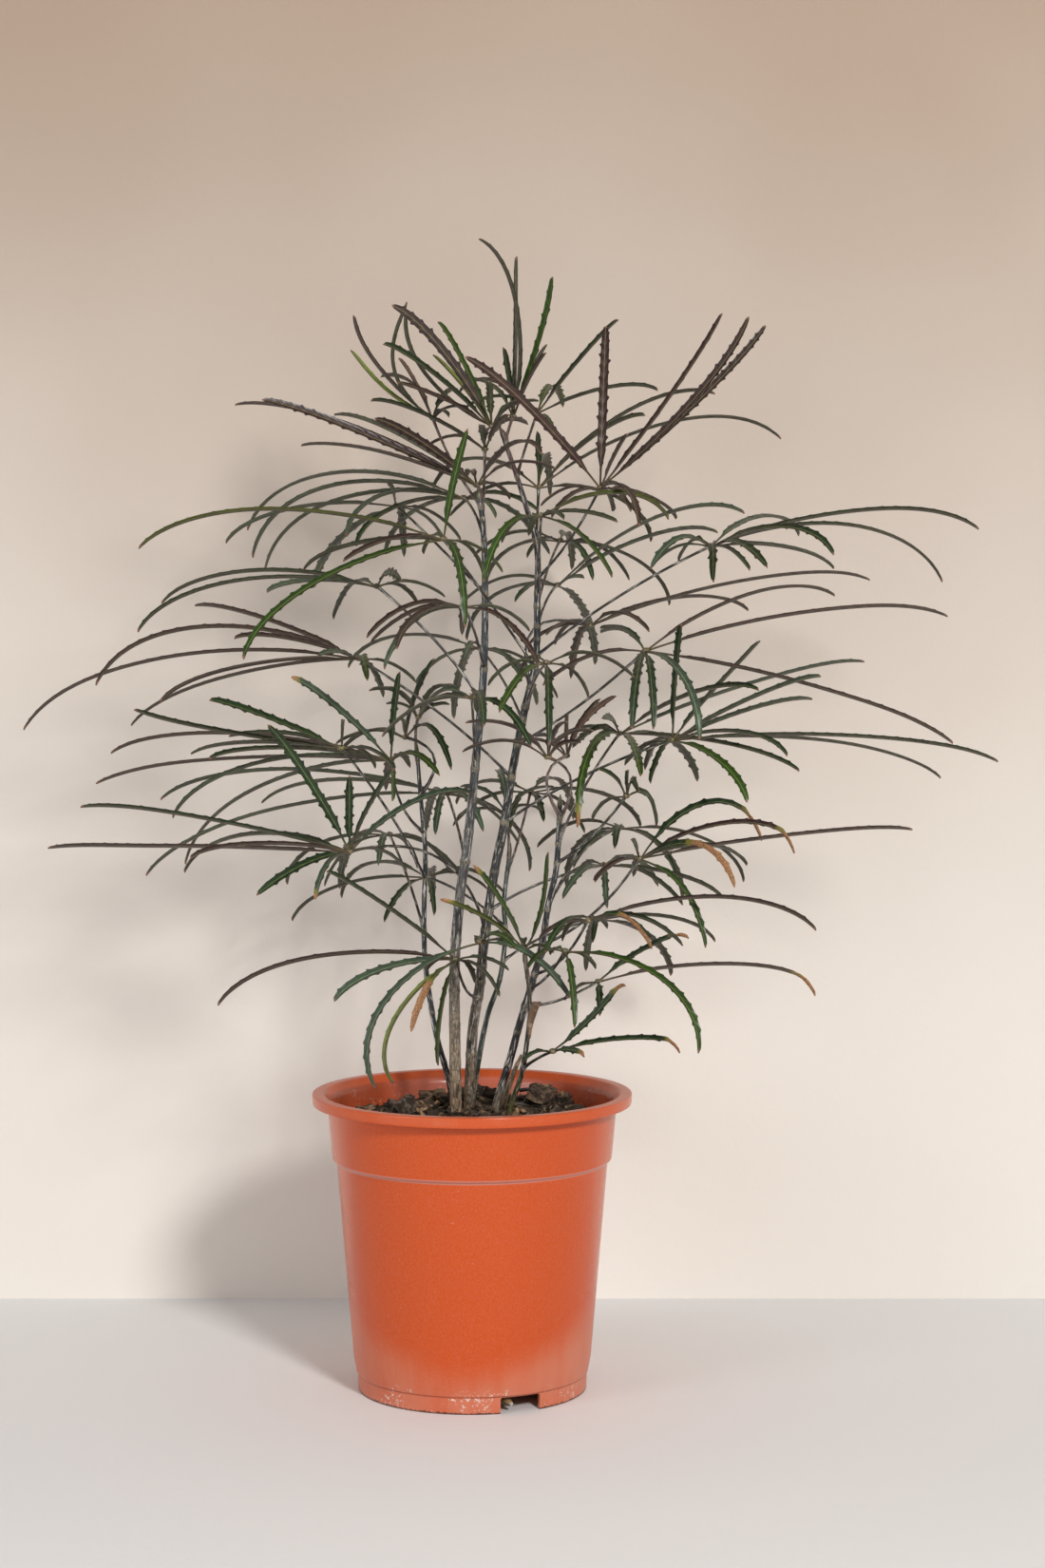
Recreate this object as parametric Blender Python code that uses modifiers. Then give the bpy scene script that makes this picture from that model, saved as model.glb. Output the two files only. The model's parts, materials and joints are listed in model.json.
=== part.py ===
"""A potted false aralia: six leafy stems standing in bark soil in a plastic nursery pot.

Lengths are metres and +Z is up. The origin lies under the middle of the plant's outline, on the
surface that the pot stands on. The front of the plant faces -Y.
"""

import math
import random
from dataclasses import dataclass, replace

import bmesh
import bpy
import numpy as np
from mathutils import Euler, Matrix, Vector

MM = 0.001
UP = np.array((0.0, 0.0, 1.0))
GAP = 0.35 * MM          # clear space between pieces that touch
MERGE = 0.00001
SEED = 7

# Pot, a turned shell of moulded plastic
ROUND_STEPS = 36
RIM_RADIUS = 120.7 * MM
RIM_HEIGHT = 225.0 * MM
LIP_DEPTH = 8.0 * MM
MOUTH_RADIUS = 111.6 * MM
BAND_TOP_RADIUS = 109.2 * MM
BAND_FOOT_RADIUS = 105.4 * MM
BAND_FOOT_HEIGHT = 175.6 * MM
BODY_TOP_RADIUS = 102.3 * MM
BODY_TOP_HEIGHT = 173.6 * MM
BODY_FOOT_RADIUS = 89.8 * MM
BODY_FOOT_HEIGHT = 24.0 * MM
FOOT_RADIUS = 86.8 * MM
FOOT_HEIGHT = 12.6 * MM
FOOT_WALL = 3.0 * MM
WALL = 2.1 * MM
FLOOR_UNDERSIDE = 13.6 * MM
FLOOR_TOP = 15.8 * MM
NOTCH_ANGLE = math.radians(-64.7)
NOTCH_WIDTH = 32.0 * MM
NOTCH_HEIGHT = 12.2 * MM
NOTCHES = 2
DRAIN_RADIUS = 6.0 * MM
DRAIN_RING = 62.0 * MM
DRAINS = 6

# Soil, a fill that is mounded round the stems
SOIL_EDGE_HEIGHT = 202.0 * MM
SOIL_MOUND = 8.0 * MM
SOIL_RELIEF = 2.0 * MM
# Heaps on the soil: (x, y, spread, height) in millimetres
HEAPS = ((56, 38, 20, 9), (-14, 34, 18, 7), (14, 52, 20, 6), (-48, -8, 14, 4))
STEM_DEPTH = 36.0 * MM   # how far a stem reaches under the soil's edge

# Foliage
HUB_RADIUS = 3.3 * MM
HUB_TURN = math.radians(15.0)   # keeps the knots' corners off the stalks and blades
STALK_RADIUS = 1.3 * MM
BLADE_HALF_WIDTH = 4.1 * MM
BLADE_DEPTH = 1.7 * MM
ROOT_HALF_WIDTH = 0.85 * MM
SHORT_BLADE = 80.0 * MM
SHORTEST_ADDED = 52.0 * MM
# Each row: how far along a blade, and its left and right half widths, from 0 at the root to 1 in full
TEETH = ((0.0, 0.0, 0.0), (0.13, 0.10, 0.10), (0.38, 1.0, 0.70), (0.64, 0.72, 1.0), (0.88, 0.86, 0.60))
SHORT_TEETH = ((0.0, 0.0, 0.0), (0.17, 0.12, 0.12), (0.45, 1.0, 0.74), (0.80, 0.66, 0.92))

# The plan is written in millimetres as the plant is seen from the front: across from the pot's
# axis, deep behind it, and up from the ground. The eye stands this far off, across and up.
EYE_ACROSS, EYE_BACK, EYE_UP = 38.0, 2420.0, 610.0


@dataclass
class Leaf:
    """One hand-shaped leaf.

    height: where its stalk leaves the stem, above the ground. hub: (across, deep, up) of the point
    that its blades spread from. reach: length of the longest blade that the whorl adds. blades:
    chosen blades, (across, deep, up, arch, turn) with the tip's place, the arch's height over the
    straight line and the blade's turn about its own length in degrees. whorl: places for blades
    round the hub. rise: how much the whorl lifts, in degrees.
    """

    height: float
    hub: tuple
    reach: float
    blades: tuple = ()
    whorl: int = 7
    rise: float = 0.0


@dataclass
class Stem:
    """One leafy stem: (across, deep, up) points from the soil to its tip, radii, and its leaves."""

    points: tuple
    foot_radius: float
    tip_radius: float
    colour: tuple
    leaves: tuple = ()


@dataclass
class Blade:
    """One leaflet from its hub to its tip."""

    start: np.ndarray
    end: np.ndarray
    arch: float
    turn: float
    added: bool = False

    def length(self):
        return float(np.linalg.norm(self.end - self.start))

    def half_width(self):
        return BLADE_HALF_WIDTH * min(1.0, 0.62 + self.length() / 0.30)

    def path(self, steps):
        return arc(self.start, self.end, self.arch, steps)

    def width_direction(self):
        side = np.cross(self.end - self.start, UP)
        return side / np.linalg.norm(side)


STEMS = {
    "main_stem": Stem(
        points=(
            (-3, 4, 200), (-1, 4, 245), (1, 5, 276), (6, 6, 307), (9, 7, 338), (17, 8, 392), (24, 9, 426),
            (31, 10, 471), (40, 12, 515), (48, 13, 551), (49, 14, 596), (49, 14, 632), (42, 12, 661),
            (34, 10, 687), (24, 8, 716),
        ),
        foot_radius=4.4, tip_radius=1.6, colour=(0.045, 0.05, 0.035),
        leaves=(
            Leaf(710, (15, 2, 725), 95, rise=50, whorl=6, blades=(
                (-59, -30, 814, 8, 55), (-33, 10, 804, 3), (-48, 34, 812, -18), (-55, 0, 758, 3),
                (-75, -24, 784, 5, 40), (-28, 28, 778, 2))),
            Leaf(713, (31, 24, 732), 90, rise=50, whorl=6, blades=(
                (6, 30, 864, 17), (33, 46, 850, -15), (39, 20, 839, -4), (55, -20, 779, 3), (46, 52, 785, 2),
                (29, -34, 783, 3))),
            Leaf(688, (49, 62, 735), 115, rise=22, whorl=6, blades=(
                (109, 80, 804, 2), (139, 40, 752, 8), (61, 14, 721, 3))),
            Leaf(640, (50, 48, 680), 150, rise=12, whorl=7, blades=(
                (49, 6, 721, 4), (231, 42, 716, 27), (139, 20, 732, 8), (183, -14, 723, 18))),
            Leaf(612, (96, -28, 679), 130, rise=18, whorl=7, blades=(
                (100, 26, 799, 3), (-4, -96, 776, 6, 50), (206, -44, 806, -9, 30), (238, -22, 804, -5, 30),
                (209, 14, 785, -4), (116, -66, 719, 2), (153, 60, 656, 8), (135, 76, 662, 7),
                (119, -66, 662, 6), (56, -62, 657, 7))),
            Leaf(600, (52, -72, 659), 100, whorl=6, blades=(
                (144, -64, 636, 17), (113, -116, 654, 5), (72, -104, 656, 4), (113, -92, 613, 8),
                (9, -124, 609, 16))),
            Leaf(575, (64, 78, 607), 140, whorl=7, blades=(
                (84, 50, 612, 3), (184, 92, 646, 13), (219, 62, 659, 20))),
            Leaf(545, (-21, -62, 641), 120, whorl=6, blades=(
                (-249, -82, 634, 24), (-171, -122, 551, 20, 25), (-3, -98, 723, 3), (-5, -122, 575, 20),
                (-126, -22, 618, 10), (-96, -104, 625, 8))),
            Leaf(553, (179, -20, 636), 120, whorl=6, blades=(
                (379, -30, 649, 18), (376, 12, 609, 30), (271, -92, 629, 17), (271, 42, 619, 9),
                (274, 70, 644, 17), (181, -84, 609, 12), (189, -98, 620, 10), (134, -62, 619, 14),
                (154, 20, 625, 10), (208, -78, 618, 6))),
            Leaf(530, (89, 32, 577), 115, whorl=7, blades=(
                (298, 52, 611, 14), (133, -20, 572, 12), (214, 104, 588, 14))),
            Leaf(515, (56, -86, 549), 105, whorl=6, blades=(
                (20, -152, 512, 8), (58, -150, 487, 14))),
            Leaf(487, (130, -32, 558), 115, whorl=6, blades=(
                (361, -62, 489, 10), (356, -8, 584, 14), (272, 34, 599, 18), (171, -112, 491, 20),
                (121, -112, 499, 18), (136, -88, 499, 14), (100, 12, 575, 8), (53, -52, 532, 9),
                (83, 44, 572, 8))),
            Leaf(428, (150, -16, 491), 115, whorl=6, blades=(
                (395, -42, 475, 11), (367, 22, 460, 15), (265, -62, 539, 5), (255, 54, 522, 5),
                (151, -50, 587, 3), (237, -84, 479, 12), (206, -94, 444, 12), (216, 84, 565, 2))),
            Leaf(462, (-85, -16, 552), 125, whorl=6, blades=(
                (-282, -32, 532, 33), (-336, 2, 499, 29), (-207, 42, 592, 6), (-178, -72, 567, 6),
                (-236, -62, 536, 12), (-256, 34, 502, 14), (-134, -54, 554, 4), (-78, -92, 536, 8))),
            Leaf(346, (-92, -62, 407), 105, whorl=6, blades=(
                (-153, -112, 502, 4, 35), (-110, -102, 464, 3, 30), (-76, -104, 469, 3, 30),
                (-162, -114, 374, 6, 40), (-294, -42, 441, 6), (-319, -22, 410, 2), (-233, 4, 389, 21),
                (-214, -92, 403, 8), (2, -26, 450, 13, 30), (-118, -98, 371, 10))),
            Leaf(361, (99, 28, 397), 100, whorl=7, blades=((189, 42, 372, 7), (64, -22, 372, 8, 25))),
            Leaf(296, (-12, -34, 326), 80, whorl=6, blades=(
                (-192, -52, 291, 20), (-104, -84, 294, 10, 20), (-109, -72, 392, 3), (-46, -66, 275, 8),
                (-51, -64, 228, 20), (-26, -66, 245, 10))),
            Leaf(308, (6, -44, 339), 80, whorl=6, blades=(
                (-69, -49, 224, 33), (33, -84, 334, 8), (74, -84, 296, 12, 30))),
            Leaf(590, (66, 126, 640), 140, whorl=7),
            Leaf(505, (6, 128, 560), 135, whorl=7),
        ),
    ),
    "second_stem": Stem(
        points=(
            (-12, -8, 200), (-13, -8, 261), (-13, -9, 323), (-9, -10, 374), (-5, -11, 400), (-1, -12, 434),
            (4, -14, 486), (9, -15, 544), (10, -16, 603), (9, -17, 646), (6, -18, 670),
        ),
        foot_radius=4.6, tip_radius=1.9, colour=(0.055, 0.055, 0.045),
        leaves=(
            Leaf(664, (4, -26, 681), 120, rise=22, whorl=7, blades=(
                (-156, -62, 745, 4, 45), (-176, 12, 741, 12), (-149, 36, 730, 8), (-124, 58, 719, 8),
                (-78, -92, 730, 5, 40))),
            Leaf(640, (-6, 34, 672), 115, whorl=7, blades=(
                (-164, 22, 627, 34), (-164, 62, 618, 30), (-177, 102, 609, 32), (-94, -22, 643, 20),
                (-56, -52, 636, 14))),
            Leaf(655, (10, 16, 708), 75, rise=35, whorl=6, blades=(
                (-75, -4, 744, 6, 30), (6, -54, 726, 3), (31, -34, 739, 3))),
            Leaf(666, (-29, 22, 731), 80, rise=38, whorl=6, blades=(
                (-46, 12, 817, -22), (-87, 34, 807, -9), (-85, -4, 783, -6, 30), (-49, -11, 772, 2))),
            Leaf(600, (-56, 54, 666), 105, whorl=7, blades=((-62, 12, 682, 3), (-184, 44, 638, 14))),
            Leaf(520, (-71, -12, 606), 115, whorl=6, blades=(
                (-232, 32, 593, 18), (-251, -34, 572, 22), (-158, -64, 602, 6), (-53, -74, 610, 8))),
            Leaf(545, (-6, -98, 591), 105, whorl=6, blades=(
                (-79, -114, 568, 12), (-76, -62, 564, 10), (-66, -136, 544, 14))),
            Leaf(470, (0, -92, 523), 100, whorl=6, blades=((45, -138, 486, 10), (-40, -60, 508, 12))),
            Leaf(400, (-19, 74, 451), 140, whorl=7, blades=(
                (-234, 62, 446, 20), (-173, 94, 441, 14), (-241, 114, 418, 22))),
        ),
    ),
    "left_stem": Stem(
        points=(
            (-14, 11, 200), (-17, 11, 231), (-26, 12, 264), (-31, 13, 291), (-34, 14, 311), (-36, 15, 338),
            (-36, 16, 366), (-35, 17, 404), (-37, 18, 431), (-39, 19, 455), (-41, 20, 480),
        ),
        foot_radius=2.4, tip_radius=1.5, colour=(0.035, 0.05, 0.035),
        leaves=(
            Leaf(420, (-61, -4, 476), 110, whorl=6, blades=(
                (-271, -22, 481, 16), (-224, 42, 479, 10), (-206, -54, 478, 8), (-276, 22, 461, 10),
                (-225, -34, 432, 22), (-231, 72, 416, 26), (-135, -34, 538, 4), (-54, -44, 542, 3),
                (-24, -54, 464, 10), (-59, -56, 445, 10))),
            Leaf(385, (-98, -52, 485), 95, whorl=6, blades=(
                (-96, -84, 506, 2), (-253, -64, 514, -4), (-196, -114, 521, 2, 30), (-179, -22, 476, 6))),
            Leaf(448, (-50, 30, 493), 90, rise=15, whorl=6, blades=(
                (-18, 18, 546, 3, 40), (-23, 26, 541, 2), (-15, -40, 477, 20))),
            Leaf(474, (-40, 14, 508), 65, rise=45, whorl=6),
            Leaf(345, (-62, 112, 420), 125, whorl=7),
        ),
    ),
    "right_stem": Stem(
        points=(
            (14, 0, 200), (21, -2, 225), (29, -4, 251), (36, -7, 277), (46, -11, 310), (53, -15, 338),
            (57, -18, 364), (63, -21, 392), (65, -24, 416), (66, -26, 440),
        ),
        foot_radius=3.2, tip_radius=1.9, colour=(0.05, 0.06, 0.035),
        leaves=(
            Leaf(432, (57, -38, 478), 80, rise=40, whorl=7),
            Leaf(436, (71, -14, 479), 75, rise=42, whorl=6, blades=(
                (108, -34, 524, 6), (96, 4, 522, 4), (72, -26, 510, 2))),
            Leaf(415, (111, 42, 496), 110, whorl=6, blades=(
                (294, 64, 550, 8), (219, -34, 501, 12), (225, -64, 482, 8), (146, -64, 464, 10),
                (98, -14, 507, 5), (88, 26, 496, 5), (89, -64, 425, 30))),
            Leaf(400, (116, -54, 449), 80, whorl=6, blades=(
                (117, -78, 468, 2), (95, -66, 469, 4), (133, -94, 452, 10), (139, -22, 425, 14))),
            Leaf(338, (126, -42, 402), 95, whorl=6, blades=(
                (218, -22, 422, 28), (243, -74, 414, 18), (331, -32, 424, 5), (176, -74, 334, 14),
                (207, -94, 388, 18), (207, 32, 397, 12), (120, -80, 416, 2))),
            Leaf(316, (87, -66, 355), 85, whorl=6, blades=(
                (136, -100, 338, 12), (261, -92, 349, 20), (159, -50, 336, 12))),
            Leaf(305, (70, -62, 332), 65, whorl=4, blades=((171, -122, 254, 27), (77, -108, 274, 12))),
            Leaf(291, (95, -12, 309), 65, whorl=4, blades=((259, -22, 306, 14), (163, 34, 348, 4))),
            Leaf(365, (112, 94, 425), 125, whorl=7),
        ),
    ),
    "side_stem": Stem(
        points=(
            (26, -12, 200), (31, -16, 220), (36, -20, 234), (40, -24, 253), (43, -29, 279), (43, -34, 302),
            (40, -40, 323),
        ),
        foot_radius=2.2, tip_radius=1.5, colour=(0.04, 0.08, 0.025),
        leaves=(
            Leaf(316, (40, -46, 333), 65, rise=25, whorl=5, blades=(
                (1, -84, 396, 4, 30), (57, -66, 406, -8, 30), (-22, -64, 369, 5))),
            Leaf(246, (61, -52, 256), 60, whorl=3, blades=(
                (116, -74, 312, -3, 40), (157, -64, 261, 6, 20), (85, -80, 254, 2, 40))),
        ),
    ),
    "back_stem": Stem(
        points=(
            (-1, 22, 200), (2, 23, 230), (6, 25, 256), (12, 28, 284), (20, 33, 307), (24, 38, 330),
            (25, 44, 351), (24, 50, 369), (28, 60, 404),
        ),
        foot_radius=2.3, tip_radius=1.6, colour=(0.035, 0.06, 0.03),
        leaves=(
            Leaf(398, (26, 78, 436), 75, rise=35, whorl=6),
            Leaf(385, (44, 148, 452), 130, whorl=7),
            Leaf(345, (-34, 126, 388), 130, whorl=7),
            Leaf(320, (96, 128, 356), 120, whorl=7),
        ),
    ),
}

STUB_POINTS = ((21, 10, 200), (26, 10, 224), (37, 10, 254))
STUB_RADII = (2.6, 2.3, 1.5)
# Dead stalks on the soil: (across, deep, up) of both ends and the arch's height
DEAD_STALKS = (((36, 52, 226), (72, 30, 211), 6), ((18, 14, 208), (52, 22, 208), 8))
# The root that hangs from the front drain hole: (x, y) from the hole's middle and height
ROOT = ((0, 0, 40), (0, 0, 18), (0, -1, 11.5), (-1, -5, 9.4), (0.5, -15, 9.6), (6, -20.5, 9.2))
# Bark on the soil: place round the pot in degrees, distance from the middle, length, width, thickness, tilt
BARK = (
    (197, 52, 24, 15, 6, 70), (150, 40, 22, 13, 6, 20), (28, 60, 30, 16, 9, 12), (48, 78, 24, 15, 8, 25),
    (80, 58, 24, 14, 7, 18), (115, 74, 26, 15, 7, 12), (172, 82, 24, 14, 6, 10), (232, 80, 20, 13, 5, 12),
    (282, 76, 22, 12, 5, 14), (332, 78, 24, 14, 6, 10),
)


def at(across, deep, up):
    """The true place of a point that is seen from the front at across and up, deep behind the axis."""
    spread = 1.0 + deep / EYE_BACK
    return MM * np.array((EYE_ACROSS + (across - EYE_ACROSS) * spread, deep, EYE_UP + (up - EYE_UP) * spread))


def arc(start, end, arch, steps):
    """Points along one even bend, arch high over the straight line on its upper side."""
    chord = end - start
    along = chord / np.linalg.norm(chord)
    rise = UP - along * along[2]
    rise /= np.linalg.norm(rise)
    bend = start + 0.44 * chord + 2.0 * arch * rise
    t = np.linspace(0.0, 1.0, steps)[:, None]
    return (1 - t) ** 2 * start + 2 * t * (1 - t) * bend + t**2 * end


def smooth_line(points, steps):
    """A smooth curve through points, with the given steps in each span."""
    p = np.vstack((2 * points[0] - points[1], points, 2 * points[-1] - points[-2]))
    t = np.linspace(0.0, 1.0, steps, endpoint=False)[:, None]
    spans = []
    for a, b, c, d in zip(p[:-3], p[1:-2], p[2:-1], p[3:]):
        curved = (2 * a - 5 * b + 4 * c - d) * t**2 + (3 * b - a - 3 * c + d) * t**3
        spans.append(0.5 * (2 * b + (c - a) * t + curved))
    return np.vstack((*spans, points[-1:]))


def stem_line(stem, steps):
    """The stem's axis from its foot in the soil to its tip."""
    above = np.array([at(*point) for point in stem.points])
    foot = above[0] + (above[0] - above[1]) / (above[1][2] - above[0][2]) * STEM_DEPTH
    return smooth_line(np.vstack((foot, above)), steps)


def stem_point(stem, height):
    """The point of the stem's axis at a height in millimetres."""
    line = stem_line(stem, 6)
    return np.array([np.interp(height * MM, line[:, 2], line[:, axis]) for axis in range(3)])


def stem_radius(stem, z):
    """The stem is thickest at the soil and tapers fast there, then slowly to its tip."""
    foot, tip = stem.points[0][2] * MM, stem.points[-1][2] * MM
    share = np.clip((z - foot) / (tip - foot), 0.0, 1.0)
    return MM * (stem.tip_radius + (stem.foot_radius - stem.tip_radius) * (1.0 - share) ** 0.8)


class Room:
    """The space round the plant in small cells, each free or held by a numbered stem or leaf."""

    CELL = 2.5 * MM
    LOW = np.array((-0.42, -0.36, 0.14))
    CELLS = (360, 300, 310)

    def __init__(self):
        self.cells = np.zeros(self.CELLS, np.int16)

    def place(self, points):
        return np.clip(((points - self.LOW) / self.CELL).astype(int), 1, np.array(self.CELLS) - 2)

    def claim(self, points, number):
        """Holds the cells at the points and those beside them, where they are free."""
        x, y, z = self.place(points).T
        for dx in (-1, 0, 1):
            for dy in (-1, 0, 1):
                for dz in (-1, 0, 1):
                    block = self.cells[x + dx, y + dy, z + dz]
                    self.cells[x + dx, y + dy, z + dz] = np.where(block == 0, number, block)

    def is_clear(self, points, hub, own, stem, reach):
        """Whether points are free. Near the hub, the leaf's own cells and its stem's don't count."""
        held = self.cells[tuple(self.place(points).T)]
        away = np.linalg.norm(points - hub, axis=1)
        blocked = (held != 0) & ~((held == own) & (away < reach)) & ~((held == stem) & (away < 16 * MM))
        radius = np.hypot(points[:, 0], points[:, 1])
        in_soil = (radius < 104 * MM) & (points[:, 2] < 222 * MM)
        in_wall = (radius > 92 * MM) & (radius < 130 * MM) & (points[:, 2] < 236 * MM)
        return not np.any(blocked | in_soil | in_wall)


def blade_points(blade):
    """Points on a blade, close enough together that nothing slips between them."""
    path = blade.path(max(8, int(blade.length() / (1.8 * MM))))
    side = blade.width_direction() * blade.half_width()
    return np.vstack([path + side * share for share in (-1.0, -0.5, 0.0, 0.5, 1.0)])


def turned(start, end, yaw, lift):
    """The end point after a turn of yaw about the upright through start, and a lift, in degrees."""
    out = end - start
    reach, azimuth = math.hypot(out[0], out[1]), math.atan2(out[1], out[0]) + math.radians(yaw)
    slope = math.atan2(out[2], reach) + math.radians(lift)
    length = np.linalg.norm(out)
    flat = length * math.cos(slope)
    return start + np.array((flat * math.cos(azimuth), flat * math.sin(azimuth), length * math.sin(slope)))


def chosen_blades(leaf, hub):
    """The blades that the plan gives for this leaf."""
    for across, deep, up, arch, *turn in leaf.blades:
        yield Blade(hub, at(across, deep, up), arch * MM, turn[0] if turn else 0.0)


def whorl_blades(leaf, hub, outward, draw):
    """Blades for the places round the hub that no chosen blade fills, longest on the outer side."""
    taken = [math.atan2(*(at(*blade[:3]) - hub)[1::-1]) for blade in leaf.blades]
    for place in range(leaf.whorl):
        angle = outward + 2 * math.pi * (place + draw.uniform(-0.12, 0.12)) / leaf.whorl
        size, slope = draw.uniform(0.85, 1.1), math.radians(draw.uniform(-36, -8) + leaf.rise)
        arch, turn = draw.uniform(0.12, 0.19), draw.uniform(-18, 18)
        if any(math.cos(angle - other) > math.cos(0.62 * 2 * math.pi / leaf.whorl) for other in taken):
            continue
        length = leaf.reach * MM * size * (0.42 + 0.58 * math.cos((angle - outward) / 2) ** 4)
        way = (math.cos(slope) * math.cos(angle), math.cos(slope) * math.sin(angle), math.sin(slope))
        yield Blade(hub, hub + length * np.array(way), arch * length, turn, True)


def fit_blade(room, blade, number, stem_number):
    """The blade turned a little, if need be, until it crosses nothing, or None where it can't.

    Where its own leaf leaves no room, it may cross another blade of that leaf.
    """
    for reach in (30 * MM, 1.0):
        for lift in (0, 6, -6, 12, -12):
            for yaw in (0, 5, -5, 10, -10, 16, -16, 24, -24):
                end = turned(blade.start, blade.end, yaw, lift)
                way = (end - blade.start) / np.linalg.norm(end - blade.start)
                tried = replace(blade, start=blade.start + way * 1.4 * MM, end=end)
                points = blade_points(tried)
                if room.is_clear(points, blade.start, number, stem_number, reach):
                    room.claim(points, number)
                    return tried
    return None


def fit_stalk(room, start, hub, number, stem_number):
    """The leaf stalk's path, arched more or less until it crosses no other stem or stalk."""
    for arch in (5, 9, 1, 13, -4, 18, -8, 24, 30):
        path = arc(start, hub, arch * MM, 60)
        clear_of_stem = path[np.linalg.norm(path - start, axis=1) > 9 * MM]
        if room.is_clear(clear_of_stem, hub, number, stem_number, 1.0):
            break
    room.claim(path, number)
    return path[[0, 20, 40, 59]]


def grow(stems):
    """Places every stalk and blade. Returns, for each stem, its (stalk path, hub, blades) leaves."""
    room = Room()
    for number, stem in enumerate(stems.values(), 1):
        line = stem_line(stem, 24)
        room.claim(line, number)
        for turn in np.linspace(0, 2 * math.pi, 6, endpoint=False):
            ring = stem_radius(stem, line[:, 2])[:, None] * np.array((math.cos(turn), math.sin(turn), 0.0))
            room.claim(line + ring, number)
    room.claim(arc(at(*STUB_POINTS[0]), at(*STUB_POINTS[-1]), 0.0, 40), len(stems) + 1)
    grown = {name: [] for name in stems}
    plan = []
    number = len(stems) + 2
    for stem_number, (name, stem) in enumerate(stems.items(), 1):
        for leaf in stem.leaves:
            hub, start = at(*leaf.hub), stem_point(stem, leaf.height)
            stalk = fit_stalk(room, start, hub, number, stem_number)
            blades = []
            grown[name].append((stalk, hub, blades))
            plan.append((leaf, hub, math.atan2(*(hub - start)[1::-1]), number, stem_number, blades))
            number += 1
    for leaf, hub, _, number, stem_number, blades in plan:
        for blade in chosen_blades(leaf, hub):
            blades.append(fit_blade(room, blade, number, stem_number))
    draw = random.Random(SEED)
    for leaf, hub, outward, number, stem_number, blades in plan:
        for blade in whorl_blades(leaf, hub, outward, draw):
            blades.append(fit_blade(room, blade, number, stem_number))
    return grown


def material(name, colour, roughness):
    """A plain finish of one colour."""
    made = bpy.data.materials.new(name)
    made.use_nodes = True
    shader = made.node_tree.nodes["Principled BSDF"]
    shader.inputs["Base Color"].default_value = (*colour, 1.0)
    shader.inputs["Roughness"].default_value = roughness
    made.diffuse_color = (*colour, 1.0)
    return made


def add_object(name, data, collection):
    """Links new object data into a collection."""
    made = bpy.data.objects.new(name, data)
    collection.objects.link(made)
    return made


def new_collection(name):
    """A collection under the scene's own."""
    made = bpy.data.collections.new(name)
    bpy.context.scene.collection.children.link(made)
    return made


def mesh_of(name, bm):
    """Ends a bmesh: closed faces point outwards, and the mesh is handed back."""
    bmesh.ops.recalc_face_normals(bm, faces=bm.faces)
    mesh = bpy.data.meshes.new(name)
    bm.to_mesh(mesh)
    bm.free()
    return mesh


def as_mesh(made):
    """Replaces an object by one that holds its evaluated mesh, with doubled points welded."""
    bpy.context.view_layer.update()
    evaluated = made.evaluated_get(bpy.context.evaluated_depsgraph_get())
    mesh = bpy.data.meshes.new_from_object(evaluated)
    bm = bmesh.new()
    bm.from_mesh(mesh)
    bmesh.ops.remove_doubles(bm, verts=bm.verts, dist=MERGE)
    bmesh.ops.recalc_face_normals(bm, faces=bm.faces)
    bm.to_mesh(mesh)
    bm.free()
    name, place, collection = made.name, made.matrix_world.copy(), made.users_collection[0]
    bpy.data.objects.remove(made)
    solid = add_object(name, mesh, collection)
    solid.matrix_world = place
    return solid


def tube(name, points, radii, sides_level, collection):
    """A closed tube along points, with a radius at each."""
    curve = bpy.data.curves.new(name, "CURVE")
    curve.dimensions = "3D"
    curve.bevel_depth = 1.0
    curve.bevel_resolution = sides_level
    curve.use_fill_caps = True
    spline = curve.splines.new("POLY")
    spline.points.add(len(points) - 1)
    for knot, point, radius in zip(spline.points, points, radii):
        knot.co = (*point, 1.0)
        knot.radius = radius
    return as_mesh(add_object(name, curve, collection))


def boolean(made, operation, operands, solver="EXACT"):
    """Joins or cuts an object with every object of a collection."""
    change = made.modifiers.new(operation.title(), "BOOLEAN")
    change.operation = operation
    change.operand_type = "COLLECTION"
    change.collection = operands
    change.solver = solver


def applied(made, spent):
    """The object with its modifiers applied. The spent collection's objects are removed."""
    solid = as_mesh(made)
    for operand in list(spent.objects):
        bpy.data.objects.remove(operand)
    bpy.data.collections.remove(spent)
    return solid


def keep_one_body(mesh):
    """Fills hollows that the joining sealed and drops loose scraps: the largest shell alone stays."""
    bm = bmesh.new()
    bm.from_mesh(mesh)
    left = set(bm.verts)
    shells = []
    while left:
        shell, edge = set(), [left.pop()]
        while edge:
            vert = edge.pop()
            shell.add(vert)
            for near in (link.other_vert(vert) for link in vert.link_edges):
                if near in left:
                    left.remove(near)
                    edge.append(near)
        shells.append(shell)
    largest = max(shells, key=len)
    bmesh.ops.delete(bm, geom=[vert for shell in shells if shell is not largest for vert in shell])
    bm.to_mesh(mesh)
    bm.free()


def shade_round(mesh, angle):
    """Smooth shading, but for edges sharper than an angle in degrees."""
    mesh.shade_smooth()
    mesh.set_sharp_from_angle(angle=math.radians(angle))


def screw(made):
    """Turns an object's profile round the upright axis."""
    turn = made.modifiers.new("Turn", "SCREW")
    turn.axis = "Z"
    turn.steps = ROUND_STEPS
    turn.render_steps = ROUND_STEPS
    turn.use_merge_vertices = True
    turn.merge_threshold = MERGE


def profile(name, points, collection):
    """An object whose edges follow (radius, height) points."""
    bm = bmesh.new()
    knots = [bm.verts.new((radius, 0.0, height)) for radius, height in points]
    for one, other in zip(knots, knots[1:]):
        bm.edges.new((one, other))
    mesh = bpy.data.meshes.new(name)
    bm.to_mesh(mesh)
    bm.free()
    return add_object(name, mesh, collection)


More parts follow.
